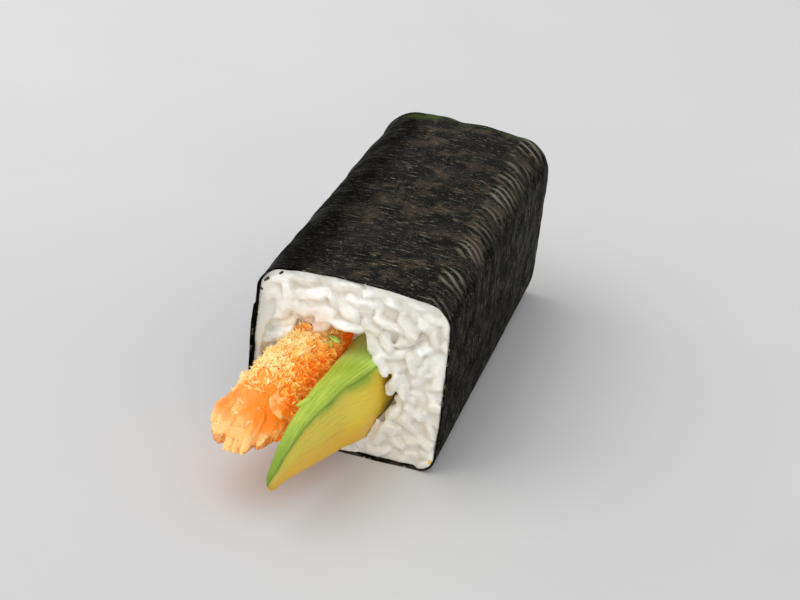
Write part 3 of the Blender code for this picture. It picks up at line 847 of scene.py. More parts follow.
def nori_material(settings):
    made, tree, shader, place = new_material(
        "nori_sheet", Metallic=0.0, Specular_IOR_Level=0.01, Coat_Roughness=0.24, Coat_IOR=1.5,
    )
    x, y, z = axes_of(tree, place)
    surface = tree.nodes.new("ShaderNodeTexCoord").outputs["UV"]
    round_mm = scaled(tree, surface, (GIRTH / MM, LENGTH / MM, 0))
    patches = mottle(tree, place, 210.0, 6.0, 0.43, 0.58)
    areas = mottle(tree, place, 90.0, 3.0, 0.44, 0.56)
    spots = mottle(tree, place, 520.0, 2.0, 0.57, 0.64)
    fine = mottle(tree, place, 1700.0, 3.0, 0.35, 0.65)
    threads = streaks(tree, round_mm, 2.7, 11.0, 0.5, 0.62, 0.67)
    curls = streaks(tree, round_mm, 2.8, 4.2, 2.4, 0.62, 0.67)
    turn = times(tree, attribute(tree, "phase"), 2 * math.pi)
    ribs = ramp(tree, arithmetic(tree, "SINE", turn, 0.0), -0.2, 0.95)
    ribs = times(tree, ribs, attribute(tree, "reach"))
    # painted shade: the sheet is darkened over its left side, which faces away from the light, and
    # its fibres and coat fade there
    left = ramp(tree, x, -6 * MM, -15 * MM)
    # painted shade: the right wall, away from the light from the left, is darkened too
    wall = ramp(tree, x, 21 * MM, 22.6 * MM)
    top = ramp(tree, z, 41 * MM, 44 * MM)
    at_back = ramp(tree, y, 44.5 * MM, 48.6 * MM)
    tone = blend(tree, patches, settings.dark, settings.brown)
    # fine, areas and spots are the sheet's own mottle; left and wall are painted shade
    for mask, most in ((fine, 0.35), (areas, 0.85), (spots, 0.85), (left, 0.96), (wall, 0.88)):
        tone = tinted(tree, tone, settings.dark, mask, most)
    lit = arithmetic(tree, "MAXIMUM", threads, curls)
    lit = times(tree, lit, between(tree, fine, 0.15, 1.0), between(tree, left, 1.0, 0.3))
    tone = tinted(tree, tone, settings.fibre_and_highlight, lit)
    # painted highlight: the ribs are lightened where they catch the light
    tone = tinted(tree, tone, settings.fibre_and_highlight, ribs, 0.42)
    thin = times(tree, at_back, top, between(tree, patches, 0.15, 0.8))
    tone = tinted(tree, tone, settings.green, thin)
    sheen = times(tree, top, 0.14, arithmetic(tree, "SUBTRACT", 1.0, left))
    heights = [(patches, 0.6), (spots, -0.5), (lit, 0.4), (fine, 0.25), (ribs, 1.2)]
    linked(
        tree, shader, Base_Color=tone, Roughness=between(tree, patches, 0.6, 0.4),
        Coat_Weight=arithmetic(tree, "MAXIMUM", times(tree, ribs, 0.8), sheen),
        Normal=bumped(tree, heights, 0.25 * MM),
    )
    return made


class TEMAKI_OT_nori_wrap(bpy.types.Operator):
    """Winds the sheet of nori round the rice, with its lap up the left wall"""

    bl_idname = "temaki.nori_wrap"
    bl_label = "Nori wrap"

    def execute(self, context):
        settings = context.scene.temaki.nori
        steps = RING_POINTS + LAP_END - LAP_START
        bm = grid_of(steps, SHEET_ROWS, lambda u, v: sheet_point(u, v, steps, settings))
        bmesh.ops.recalc_face_normals(bm, faces=bm.faces)
        underside = min(bm.faces, key=lambda face: face.calc_center_median().z)
        if underside.normal.z > 0:
            bmesh.ops.reverse_faces(bm, faces=bm.faces)
        phase = bm.verts.layers.float.new("phase")
        reach = bm.verts.layers.float.new("reach")
        surface = bm.loops.layers.uv["surface"]
        for vert in bm.verts:
            u, v = vert.link_loops[0][surface].uv
            vert[phase] = rib_phase(vert.co.x, vert.co.y)
            vert[reach] = rib_reach(LAP_START + round(u * steps), vert.co.y)
        sheet = object_from(bm, "nori_sheet")
        thickness = sheet.modifiers.new("sheet", "SOLIDIFY")
        thickness.thickness = settings.thickness
        thickness.offset = -1
        finish_piece(applied(sheet), nori_material(settings), "nori_wrap", "nori")
        return {"FINISHED"}


# The avocado slice

def wedge(depth, width, room, belly=0.0):
    """The slice's section round its thin edge, clockwise from there, as (x, z, skin share)."""
    size = depth + room
    spread = math.asin(min(width / depth, 0.9))
    edge = min(INNER_EDGE, depth * 0.3) + room
    flat = [(edge * 0.35, -edge * 0.9, 0.0), (room + edge * 0.15, -edge * 0.2, 0.0)]
    for share in (0.2, 0.4, 0.6, 0.76, 0.88, 0.96):
        flat.append((room + 4 * belly * share * (1 - share), size * share, share))
    for share, bow in SKIN_BOWS:
        angle = spread * share
        flat.append((room - size * bow * math.sin(angle), size * bow * math.cos(angle), 1.3))
    for share in (0.96, 0.88, 0.76, 0.6, 0.4, 0.2):
        reach = size * share
        flat.append((-room - reach * math.sin(spread), reach * math.cos(spread), share))
    flat += [(-edge * 0.75, -edge * 0.2, 0.0), (-edge * 0.35, -edge * 0.9, 0.0)]
    across, up = math.cos(WEDGE_LEAN), math.sin(WEDGE_LEAN)
    return [(x * across + z * up, z * across - x * up, share) for x, z, share in flat]


WEDGE_POINTS = len(wedge(1.0, 0.5, 0.0))


def avocado_point(u, y, room=0.0):
    """A point of the slice's surface, u once round its wedge, and how near the skin it is."""
    x, upper, lower, width = at_y(AVOCADO_LINE, y)
    depth = max(upper - lower, 0.2 * MM) / math.cos(WEDGE_LEAN)
    belly = AVOCADO_BELLY * smooth(-60 * MM, -50 * MM, y) * smooth(-22 * MM, -38 * MM, y)
    across, up, share = wedge(depth, width, room, belly)[round(u * WEDGE_POINTS) % WEDGE_POINTS]
    return Vector((x - depth * math.sin(WEDGE_LEAN) + across, y, lower + up)), share


def avocado_station(v):
    """y along the slice: close sections at both ends."""
    first, last = AVOCADO_LINE[0][0] * MM, AVOCADO_LINE[-1][0] * MM
    table = [(0, 0), (0.06, 0.004), (0.2, 0.03), (0.62, 0.3), (0.95, 0.985), (0.98, 0.997), (1, 1)]
    return mix(first, last, along(table, v))


def avocado_material(settings):
    made, tree, shader, place = new_material(
        "avocado_slice", Metallic=0.0, Subsurface_Weight=0.12, Subsurface_Scale=0.8 * MM,
        Subsurface_Radius=(1.0, 0.8, 0.2), Specular_IOR_Level=0.35, Coat_Weight=0.1,
        Coat_Roughness=0.2,
    )
    _, y, _ = axes_of(tree, place)
    own = lengthways(tree, AVOCADO_SIZE)
    broad = streaks(tree, own, 0.9, 12.0, 0.3, 0.34, 0.66)
    fine = streaks(tree, own, 3.2, 16.0, 0.4, 0.35, 0.7)
    clouds = mottle(tree, place, 170.0, 3.0, 0.3, 0.7)
    green = blend(tree, between(tree, broad, 0.3, 1.0), settings.under_skin, settings.skin_light)
    green = tinted(tree, green, settings.under_skin, between(tree, fine, 0.2, 0.0))
    green = tinted(tree, green, settings.under_skin, between(tree, clouds, 0.3, 0.0))
    # painted light: the skin side is lightened where it comes out of the rice
    green = tinted(tree, green, settings.skin_top_painted_light, ramp(tree, y, -56 * MM, -46 * MM))
    green = tinted(tree, green, settings.skin_dark, ramp(tree, y, -74 * MM, -88 * MM), 0.8)
    depth = plus(tree, attribute(tree, "skin"), between(tree, clouds, -0.05, 0.05))
    tone = blend(tree, ramp(tree, depth, 0.5, 0.05), settings.flesh, settings.inner)
    tone = tinted(tree, tone, settings.inner, ramp(tree, y, -60 * MM, -48 * MM), 0.6)
    tone = tinted(tree, tone, settings.under_skin, ramp(tree, depth, 0.76, 0.99))
    tone = tinted(tree, tone, settings.skin_dark, ramp(tree, depth, 0.93, 1.0), 0.7)
    tone = tinted(tree, tone, green, ramp(tree, depth, 1.0, 1.12))
    heights = [(broad, 0.6), (fine, 0.16), (clouds, 0.7)]
    linked(
        tree, shader, Base_Color=tone, Roughness=between(tree, clouds, 0.30, 0.46),
        Normal=bumped(tree, heights, 0.2 * MM),
    )
    return made


class TEMAKI_OT_avocado(bpy.types.Operator):
    """Cuts the avocado slice, an upright wedge that runs through the rice"""

    bl_idname = "temaki.avocado"
    bl_label = "Avocado slice"

    def execute(self, context):
        skin = {}

        def spot(u, v):
            return round(u * WEDGE_POINTS) % WEDGE_POINTS, round(v * AVOCADO_ROWS)

        def place(u, v):
            point, skin[spot(u, v)] = avocado_point(u, avocado_station(v))
            return point + noise.noise_vector(point / (6 * MM)) * 0.16 * MM

        bm = grid_of(WEDGE_POINTS, AVOCADO_ROWS, place)
        near_skin = bm.verts.layers.float.new("skin")
        surface = bm.loops.layers.uv["surface"]
        for vert in bm.verts:
            vert[near_skin] = skin[spot(*vert.link_loops[0][surface].uv)]
        flesh = object_from(closed(bm, inset=0.05 * MM), "avocado_flesh")
        finer = flesh.modifiers.new("finer", "SUBSURF")
        finer.levels = 2
        finer.render_levels = 2
        material = avocado_material(context.scene.temaki.avocado)
        finish_piece(applied(flesh), material, "avocado_slice", "avocado")
        return {"FINISHED"}


# The shrimp

def shrimp_section(y):
    """Middle, right, up and radius of the shrimp's section at y."""
    x, z, radius = at_y(SHRIMP_LINE, y)
    ahead = at_y(SHRIMP_LINE, y + MM)
    behind = at_y(SHRIMP_LINE, y - MM)
    course = Vector((ahead[0] - behind[0], 2 * MM, ahead[1] - behind[1])).normalized()
    right = course.cross(Vector((0, 0, 1))).normalized()
    return Vector((x, y, z)), right, right.cross(course), max(radius, 0.0)


def shrimp_surface(y, angle):
    """A point on the plain body, and its way out."""
    middle, right, up, radius = shrimp_section(y)
    out = right * math.cos(angle) + up * math.sin(angle)
    lumps = noise.noise((middle + out * radius) / (3.4 * MM))
    outside = smooth(-44 * MM, -52 * MM, y)
    return middle + out * radius * (1 + (0.02 + 0.07 * outside) * lumps), out


def crust(point):
    """Height of the crust's own crumbs over the plain body."""
    large = noise.fractal(point / (3.0 * MM), 1.0, 2.1, 4)
    small = abs(noise.noise(point / (0.75 * MM)))
    fade = 1 - 0.8 * smooth(SHELL_START + 3 * MM, SHELL_START - 4 * MM, point.y)
    return (0.85 * large + 0.5 * small - 0.25) * MM * fade


def breading_material(settings):
    # painted light: the crust glows faintly in its own tone, to look brighter than its lighting
    # makes it
    made, tree, shader, place = new_material(
        "fried_crust", Metallic=0.0, Subsurface_Weight=0.2, Subsurface_Scale=0.6 * MM,
        Subsurface_Radius=(1.0, 0.6, 0.25), Specular_IOR_Level=0.4, Emission_Strength=0.07,
    )
    x, y, z = axes_of(tree, place)
    shell = attribute(tree, "shell")
    clumps = mottle(tree, place, 135.0, 3.0, 0.4, 0.6)
    patches = mottle(tree, place, 420.0, 4.0, 0.36, 0.64)
    fine = mottle(tree, place, 1500.0, 3.0, 0.3, 0.7)
    # painted light and shade in the crust's tone: lighter towards the upper left, where the light
    # comes from, and at the tips of the crumbs, deeper orange in the hollows; it is also darker
    # where it goes into the rice and lighter at its back end, and the crumb tone, clumps and
    # patches are its own colour
    upper_left = plus(tree, times(tree, x, -0.75), times(tree, z, 0.66))
    light = plus(
        tree,
        times(tree, attribute(tree, "height"), 0.7),
        times(tree, attribute(tree, "tone"), 0.25),
        between(tree, clumps, -0.3, 0.15),
        between(tree, ramp(tree, upper_left, 17 * MM, 29 * MM), -0.6, 0.35),
        between(tree, ramp(tree, y, -44 * MM, -38 * MM), 0.0, -0.3),
        between(tree, ramp(tree, y, 40 * MM, 45 * MM), 0.0, 0.6),
        between(tree, patches, -0.2, 0.2),
    )
    tone = blend(tree, ramp(tree, light, -0.35, 0.1), settings.deep, settings.golden)
    tone = tinted(tree, tone, settings.cream, ramp(tree, light, 0.15, 0.8))
    tone = tinted(tree, tone, blend(tree, patches, settings.shell, settings.tail), shell)
    # Emission Color lets the crust glow in its tone: painted light
    linked(
        tree, shader, Base_Color=tone, Emission_Color=tone,
        Roughness=between(tree, shell, 0.62, 0.34),
        Normal=bumped(tree, [(fine, 0.6), (patches, 0.2)], 0.16 * MM),
    )
    return made


def crumb(bm, draw, centre, out, size):
    """A jagged flake, chunk or shred of bread that stands up from the crust."""
    turn = out.to_track_quat("Z", "Y").to_matrix().to_4x4()
    kind = draw.random()
    if kind < 0.14:
        sides = (draw.uniform(1.2, 2.0), 0.3, draw.uniform(0.9, 1.5))
    elif kind < 0.55:
        sides = (draw.uniform(0.7, 1.2), draw.uniform(0.35, 0.6), 0.85)
    else:
        sides = (0.32, 0.2, draw.uniform(1.2, 2.6))
    shape = Matrix.Diagonal((*(size * side for side in sides), 1))
    tilt = Matrix.Rotation(draw.uniform(-1.4, 1.4), 4, "X")
    spin = Matrix.Rotation(draw.uniform(0, 2 * math.pi), 4, "Z")
    matrix = Matrix.Translation(centre) @ turn @ spin @ tilt @ shape
    height = bm.verts.layers.float["height"]
    tone = bm.verts.layers.float["tone"]
    shade = draw.uniform(-1, 1)
    seed = Vector((draw.uniform(0, 99), 0, 0))
    for vert in bmesh.ops.create_icosphere(bm, subdivisions=1, radius=1.0)["verts"]:
        vert.co *= 1 + 0.6 * noise.noise(vert.co * 1.4 + seed) + draw.uniform(-0.25, 0.25)
        vert.co = matrix @ vert.co
        # the height lightens the crumb towards its tip in the crust's tone: a painted highlight
        vert[height] = 0.35 + (vert.co - centre).dot(out) / (1.6 * MM)
        vert[tone] = shade


class TEMAKI_OT_shrimp(bpy.types.Operator):
    """Breads the shrimp: a crust of its own crumbs, which runs out before the tail"""

    bl_idname = "temaki.shrimp"
    bl_label = "Breaded shrimp"

    def execute(self, context):
        settings = context.scene.temaki.shrimp
        first, last = SHRIMP_LINE[-1][0] * MM, SHRIMP_LINE[0][0] * MM
        stations = [
            (0, first), (0.06, -69.4 * MM), (0.82, CRUST_START), (0.9, 41 * MM), (0.97, 47.6 * MM),
            (1, last),
        ]

        def place(u, v):
            point, out = shrimp_surface(along(stations, v), 2 * math.pi * u)
            return point + out * (crust(point) - CRUST_SUNK)

        body = tube_of(*SHRIMP_STEPS, place)
        height = body.verts.layers.float.new("height")
        body.verts.layers.float.new("tone")
        shell = body.verts.layers.float.new("shell")
        for vert in body.verts:
            # the height lightens the crust's peaks and deepens its hollows: painted highlight and
            # shade
            vert[height] = crust(vert.co) / (1.1 * MM)
            edge = vert.co.y + 1.6 * MM * noise.noise(vert.co / (2.5 * MM))
            edge -= (vert.co.z - 17 * MM) * 0.25
            vert[shell] = smooth(SHELL_START + 0.6 * MM, SHELL_START - 1.2 * MM, edge)
        material = breading_material(settings)
        finish_piece(object_from(body, "shrimp_body"), material, "shrimp", "breading")
        return {"FINISHED"}


class TEMAKI_OT_crumbs(bpy.types.Operator):
    """Scatters loose crumbs and shreds over the shrimp's crust"""

    bl_idname = "temaki.crumbs"
    bl_label = "Loose crumbs"

    def execute(self, context):
        settings = context.scene.temaki.shrimp
        draw = random.Random(11)
        makers = []
        for i in range(settings.crumbs):
            at_back = i % BACK_SHARE == 0
            if at_back:
                last, reach = CRUMBS_BACK
                y = (last - reach * draw.random() ** 2) * MM
            else:
                y = draw.uniform(*CRUMBS_FRONT) * MM
            angle = draw.uniform(0, 2 * math.pi)
            size = settings.crumb_size * draw.uniform(0.6, 1.35)
            keep = draw.random()
            surface, out = shrimp_surface(y, angle)
            bare = SHELL_START - (3.5 * MM if out.x < 0.2 < out.z + 0.4 else 0)
            if y < bare + 2 * MM and keep > smooth(bare - 4 * MM, bare + 2 * MM, y):
                continue
            if at_back:
                out = (out + Vector((0, 2.0, 0))).normalized()
            centre = surface + out * (crust(surface) + 0.12 * size)
            lean = Vector([draw.uniform(-1, 1) for _ in range(3)]) * 0.35
            way = (out + lean).normalized()
            makers.append(functools.partial(crumb, draw=draw, centre=centre, out=way, size=size))
        crumbs = object_from(gathered(makers, ("height", "tone", "shell")), "panko_crumbs")
        crumbs.data.shade_flat()
        finish_piece(crumbs, bpy.data.materials["fried_crust"], "shrimp", "breading")
        return {"FINISHED"}


def tail_material(settings):
    made, tree, shader, place = new_material(
        "shrimp_tail", Metallic=0.0, Subsurface_Weight=0.15, Subsurface_Scale=1.2 * MM,
        Subsurface_Radius=(1.0, 0.5, 0.25), Coat_Weight=0.3, Coat_Roughness=0.13,
        Specular_IOR_Level=0.3,
    )
    reach = attribute(tree, "reach")
    fold = attribute(tree, "fold")
    veins = streaks(tree, lengthways(tree, TAIL_SIZE), 0.8, 4.0, 2.2, 0.60, 0.85)
    patches = mottle(tree, place, 260.0, 4.0, 0.38, 0.62)
    flecks = mottle(tree, place, 620.0, 4.0, 0.57, 0.64)
    out = plus(tree, reach, between(tree, patches, -0.1, 0.1))
    tone = blend(tree, ramp(tree, out, 0.5, 0.85), settings.shell, settings.tail)
    tone = tinted(tree, tone, settings.golden, patches, 0.4)
    tone = tinted(tree, tone, settings.shell, near(tree, place, *TAIL_DEEP))
    # painted shade at the foot of each blade's step, under the edge of the blade before, and
    # painted highlight along each blade's raised edge
    tone = tinted(tree, tone, settings.shell, ramp(tree, fold, 0.22, 0.02), 0.25)
    tone = tinted(tree, tone, settings.cream, ramp(tree, fold, 0.75, 0.96), 0.2)
    pale = arithmetic(tree, "MAXIMUM", veins, flecks)
    pale = times(tree, pale, between(tree, ramp(tree, reach, 0.3, 0.6), 0.35, 1.0))
    tone = tinted(tree, tone, settings.cream, pale, 0.5)
    tone = tinted(tree, tone, settings.burnt, ramp(tree, out, 0.93, 1.02), 0.8)
    heights = [(veins, 0.2), (patches, 0.9), (flecks, 0.6)]
    linked(
        tree, shader, Base_Color=tone, Roughness=between(tree, flecks, 0.28, 0.5),
        Normal=bumped(tree, heights, 0.3 * MM),
    )
    return made


def blade_share(across):
    """How far across its own blade a place across the fan lies, from 0 to 1."""
    turn = across * TAIL_BLADES + 0.35
    return turn - math.floor(turn)


def fan_point(u, v):
    """A point of the fan, which starts round the shell and ends thin, folded and ragged."""
    angle = 2 * math.pi * u
    across, up = math.cos(angle), math.sin(angle)
    x, z, half_width, half_height = eased(TAIL_LINE, v)
    lap = blade_share(across)
    ragged = noise.noise(Vector((across * 4, 3, 0)))
    ragged += 0.8 * noise.noise(Vector((across * 14, 0, 0)))
    ragged += 2.2 * smooth(0.12, 0, min(lap, 1 - lap))
    y = mix(TAIL_START / MM, eased(TAIL_EDGE, across)[0], v) + ragged * smooth(0.7, 1, v)
    spread = smooth(0.38, 0.8, v)
    flat = Vector((x + across * half_width, y, z + up * half_height))
    flat.z += spread * (1.9 * across * across - 0.9 * across + 0.4 * (lap - 0.5))
    flat.z += spread * 0.9 * noise.noise(Vector((flat.x / 4.6, flat.y / 8, 0)))
    return (flat + 0.15 * noise.noise_vector(flat / 1.6) * (1 - v)) * MM


class TEMAKI_OT_tail(bpy.types.Operator):
    """Spreads the shrimp's tail fan"""

    bl_idname = "temaki.tail"
    bl_label = "Tail fan"

    def execute(self, context):
        bm = grid_of(*TAIL_STEPS, fan_point)
        surface = bm.loops.layers.uv["surface"]
        reach = bm.verts.layers.float.new("reach")
        fold = bm.verts.layers.float.new("fold")
        for vert in bm.verts:
            u, v = vert.link_loops[0][surface].uv
            vert[reach] = v
            vert[fold] = mix(0.5, blade_share(math.cos(2 * math.pi * u)), smooth(0.4, 0.7, v))
        fan = object_from(closed(bm), "tail_fan")
        finish_piece(fan, tail_material(context.scene.temaki.shrimp), "shrimp", "breading")
        return {"FINISHED"}


# The rice

def rice_block(first, last, name):
    """The rice inside the wrap between two y, with the bores and hollows that it has there."""

    def place(u, v):
        y = mix(first, last, v)
        ring = ring_at(round(y / LENGTH + 0.5, 4))[::3]
        point, inward = ring[round(u * len(ring)) % len(ring)]
        flat = point + inward * RICE_FIT
        return Vector((flat.x, y, flat.y))

    block = object_from(tube_of(len(ring_at(0.5)[::3]), 6, place), name)
    ends = (first - 4 * MM, last + 4 * MM)

    def bore(u, v):
        y = mix(*ends, v)
        middle, _, _, _ = shrimp_section(min(y, 40 * MM))
        angle = 2 * math.pi * u
        out = Vector((math.cos(angle), 0, math.sin(angle)))
        return Vector((middle.x, y, middle.z)) + out * SHRIMP_BORE

    cut(block, object_from(tube_of(32, 12, bore), "bore"))
    slot = tube_of(WEDGE_POINTS, 16, lambda u, v: avocado_point(u, mix(*ends, v), 0.12 * MM)[0])
    cut(block, object_from(slot, "slot"))
    for centre, radii in POCKETS:
        if centre.y + radii.y > first > centre.y:
            pocket = bmesh.new()
            bmesh.ops.create_uvsphere(pocket, u_segments=24, v_segments=16, radius=1.0)
            shape = Matrix.Translation(centre) @ Matrix.Diagonal((*radii, 1))
            bmesh.ops.transform(pocket, matrix=shape, verts=pocket.verts)
            cut(block, object_from(pocket, "pocket"))
    return block


def grain(bm, draw, centre, axis, size, width):
    """A cooked grain: a blunt, slightly bent spindle."""
    made = bmesh.ops.create_uvsphere(bm, u_segments=10, v_segments=8, radius=0.5)["verts"]
    turn = axis.to_track_quat("Z", "Y").to_matrix().to_4x4()
    roll = Matrix.Rotation(draw.uniform(0, math.pi), 4, "Z")
    bend = draw.uniform(-0.35, 0.35)
    fat = draw.uniform(-0.25, 0.25)
    seed = Vector((0, 0, draw.uniform(0, 99)))
    for vert in made:
        x, y, z = vert.co * (1 + 0.4 * noise.noise(vert.co * 2.4 + seed))
        swell = (1 - (2 * z) ** 4) ** 0.25 if abs(z) < 0.499 else 0
        reach = math.hypot(x, y)
        full = 0.5 * math.sqrt(max(0.0, 1 - 4 * z * z))
        stretch = mix(1.0, swell * 0.5 / full, 0.35) if reach > 1e-6 and full > 1e-6 else 1.0
        stretch *= 1 + fat * 2 * z
        across = x * width * stretch + bend * z * z * width
        vert.co = Vector((across, y * width * 0.86 * stretch, z * size))
        vert.co = kept_inside(centre + turn @ (roll @ vert.co), RICE_FIT + 0.1 * MM)


def front_grains(draw, settings):
    """(centre, axis, length, width, whiteness) of the grains placed one by one in the front."""
    rows = []
    for (x1, z1), (x2, z2), y in GRAINS:
        one = Vector((x1, y, z1)) * MM
        other = Vector((x2, y + draw.uniform(-0.9, 0.9), z2)) * MM
        size = max((other - one).length + 0.8 * MM, settings.grain_length * 0.72)
        width = settings.grain_width * draw.uniform(1.0, 1.18)
        rows.append(((one + other) / 2, (other - one).normalized(), size, width, draw.random()))
    for centre, axis, size, width, tone in LUMPS:
        rows.append((Vector(centre) * MM, Vector(axis).normalized(), size * MM, width * MM, tone))
    return rows


def scattered_grains(draw, settings, block, neighbours, end, taken):
    """Like rows for grains strewn over one end of the rice, -1 the front or 1 the back."""
    surface = BVHTree.FromObject(block, bpy.context.evaluated_depsgraph_get())
    outward = Vector((0, end, 0))
    rows = []
    placed_at = [row[0] for row in taken]
    for _ in range(GRAIN_TRIES):
        x = draw.uniform(-WIDTH / 2, WIDTH / 2)
        z = draw.uniform(0.5 * MM, HEIGHT + TOP_CROWN)
        hit = surface.ray_cast(Vector((x, end * (LENGTH / 2 + 20 * MM), z)), -outward)[0]
        swing = draw.uniform(0, math.pi)
        lean = draw.uniform(-0.3, 0.3)
        sunk = draw.uniform(-1.3, -0.2) * MM
        size = settings.grain_length * draw.uniform(0.72, 1.0)
        width = settings.grain_width * draw.uniform(1.05, 1.4)
        if hit is None or hit.y * end < LENGTH / 2 - GRAINS_REACH[end]:
            continue
        centre = Vector((x, hit.y, z)) + outward * sunk
        pressed_and_shaded = smooth(-17 * MM, -20 * MM, x) * smooth(38 * MM, 34 * MM, z) if end < 0 else 0
        centre -= outward * pressed_and_shaded * 1.1 * MM
        if any((centre - other).length < GRAIN_GAP for other in placed_at):
            continue
        axis = Vector((math.cos(swing), lean, math.sin(swing))).normalized()
        probe = bmesh.new()
        grain(probe, random.Random(1), centre, axis, size, width)
        clear = not crosses(probe, neighbours)
        probe.free()
        if clear:
            rows.append((centre, axis, size, width, draw.random()))
            placed_at.append(centre)
    return rows


def hollows(obj):
    """How far each vertex lies below the relaxed surface: 0 not at all, 1 by the full depth."""
    relaxed = bpy.data.objects.new("relaxed", obj.data.copy())
    bpy.context.scene.collection.objects.link(relaxed)
    soft = relaxed.modifiers.new("soft", "SMOOTH")
    soft.factor = 1.0
    soft.iterations = HOLLOW_ROUNDS
    applied(relaxed)
    pairs = zip(obj.data.vertices, relaxed.data.vertices)
    values = [
        smooth(0, HOLLOW_DEPTH, (after.co - vert.co).dot(vert.normal)) for vert, after in pairs
    ]
    bpy.data.objects.remove(relaxed)
    return values


def merged_rice(block, grains, draw, settings, name):
    """Melts the block and its grains into one closed surface, with a tone for every grain."""
    makers = [
        functools.partial(grain, draw=draw, centre=centre, axis=axis, size=size, width=width)
        for centre, axis, size, width, _ in grains
    ]
    bm = gathered(makers)
    bm.from_mesh(block.data)
    bpy.data.objects.remove(block)
    rice = object_from(bm, name)
    melt = rice.modifiers.new("melt", "REMESH")
    melt.mode = "VOXEL"
    melt.voxel_size = settings.resolution
    melt.use_smooth_shade = True
    even = rice.modifiers.new("even", "SMOOTH")
    even.factor = 0.5
    even.iterations = 3
    applied(rice)
    nearest = kdtree.KDTree(3 * len(grains))
    for i, (centre, axis, size, _, _) in enumerate(grains):
        for k in (-0.3, 0.0, 0.3):
            nearest.insert(centre + axis * size * k, i)
    nearest.balance()
    tone = rice.data.attributes.new("tone", "FLOAT", "POINT")
    hollow_shade = rice.data.attributes.new("hollow_shade", "FLOAT", "POINT")
    tones = []
    places = []
    for vert in rice.data.vertices:
        tones.append(grains[nearest.find(vert.co)[1]][4])
        rough = 0.22 * noise.noise(vert.co / (2.6 * MM)) + 0.08 * noise.noise(vert.co / (0.9 * MM))
        places += list(kept_inside(vert.co + vert.normal * rough * MM, RICE_FIT))
    tone.data.foreach_set("value", tones)
    hollow_shade.data.foreach_set("value", hollows(rice))
    rice.data.vertices.foreach_set("co", places)
    return rice


def rice_material(settings):
    made, tree, shader, place = new_material(
        "cooked_rice", Metallic=0.0, Subsurface_Weight=0.35, Subsurface_Scale=1.6 * MM,
        Subsurface_Radius=(1.0, 0.85, 0.7), Coat_Weight=0.12, Coat_Roughness=0.22,
    )
    x, y, z = axes_of(tree, place)
    clouds = mottle(tree, place, 120.0, 3.0, 0.35, 0.65)
    fine = mottle(tree, place, 900.0, 3.0, 0.3, 0.7)
    # the rice is less white and greyer towards the bottom; the grain tones and clouds are its own
    white = times(
        tree,
        between(tree, attribute(tree, "tone"), 0.1, 1.0),
        between(tree, clouds, 0.35, 1.0),
        between(tree, ramp(tree, z, 10 * MM, 30 * MM), 0.15, 1.0),
    )
    tone = blend(tree, white, settings.clear, settings.white)
    # painted shade: the hollows between the grains are darkened to the gap colour
    tone = tinted(tree, tone, settings.gap, attribute(tree, "hollow_shade"), 0.64)
    # pressed rice along the left wall, greyed partly as painted shade of the recess there
    pressed_and_shaded = times(
        tree,
        ramp(tree, x, -15.5 * MM, -18.5 * MM),
        ramp(tree, z, 38 * MM, 35 * MM),
        ramp(tree, y, -50 * MM, -49.3 * MM),
    )
    tone = tinted(tree, tone, settings.pressed_and_shaded, pressed_and_shaded, 0.95)
    # painted reflected light from the shrimp's orange and painted shade in the recess above it
    for centre, radius, most in BOUNCE_AND_SHADE:
        tone = tinted(tree, tone, settings.bounce_and_shade, near(tree, place, centre, radius), most)
    linked(
        tree, shader, Base_Color=tone, Roughness=between(tree, fine, 0.3, 0.48),
        Normal=bumped(tree, [(fine, 0.5), (clouds, 0.3)], 0.1 * MM),
    )
    return made


class TEMAKI_OT_rice(bpy.types.Operator):
    """Packs the rice: a core with its bores, and the grains that show at either end"""

    bl_idname = "temaki.rice"
    bl_label = "Sushi rice"

    def execute(self, context):
        settings = context.scene.temaki.rice
        material = rice_material(settings)
        front = -LENGTH / 2 + RICE_SETBACK[0]
        back = LENGTH / 2 - RICE_SETBACK[1]
        context.view_layer.update()
        graph = context.evaluated_depsgraph_get()
        fillings = (bpy.data.objects["avocado_flesh"], bpy.data.objects["shrimp_body"])
        neighbours = [BVHTree.FromObject(filling, graph) for filling in fillings]
        core = rice_block(front + FRONT_DEPTH - MM, back - BACK_DEPTH + MM, "rice_core")
        finish_piece(core, material, "rice", "rice")
        draw = random.Random(5)
        block = rice_block(front, front + FRONT_DEPTH, "front_block")
        grains = front_grains(draw, settings)
        grains += scattered_grains(draw, settings, block, neighbours, -1, grains)
        rice = merged_rice(block, grains, draw, settings, "rice_front")
        finish_piece(rice, material, "rice", "rice")
        block = rice_block(back - BACK_DEPTH, back, "back_block")
        grains = scattered_grains(draw, settings, block, neighbours, 1, [])
        rice = merged_rice(block, grains, draw, settings, "rice_back")
        finish_piece(rice, material, "rice", "rice")
        return {"FINISHED"}


# Small bits

def clinging(bm, draw, target, aim, half_sizes, degrees, out):
    """A thin jagged bit on the surface that the camera sees at an aim in the front's plane."""
    surface = BVHTree.FromObject(bpy.data.objects[target], bpy.context.evaluated_depsgraph_get())
    way = (Vector((aim[0], -LENGTH / 2 / MM, aim[1])) * MM - EYE).normalized()
    hit, normal, _, _ = surface.ray_cast(EYE, way)
    if hit is None:
        raise RuntimeError(f"no place for a bit on {target} at {aim}")
    turn = (normal - way).normalized().to_track_quat("Z", "X").to_matrix().to_4x4()
    spin = Matrix.Rotation(math.radians(degrees), 4, "Z")
    shape = Matrix.Diagonal((*(size * MM for size in half_sizes), 1))
    matrix = Matrix.Translation(hit + normal * out * MM) @ turn @ spin @ shape
    seed = Vector((draw.uniform(0, 99), 0, 0))
    for vert in bmesh.ops.create_icosphere(bm, subdivisions=3, radius=1.0)["verts"]:
        large, small = noise.noise(vert.co * 1.3 + seed), noise.noise(vert.co * 4 + seed)
        vert.co *= 1 + 0.35 * large + 0.12 * small
        vert.co = matrix @ vert.co


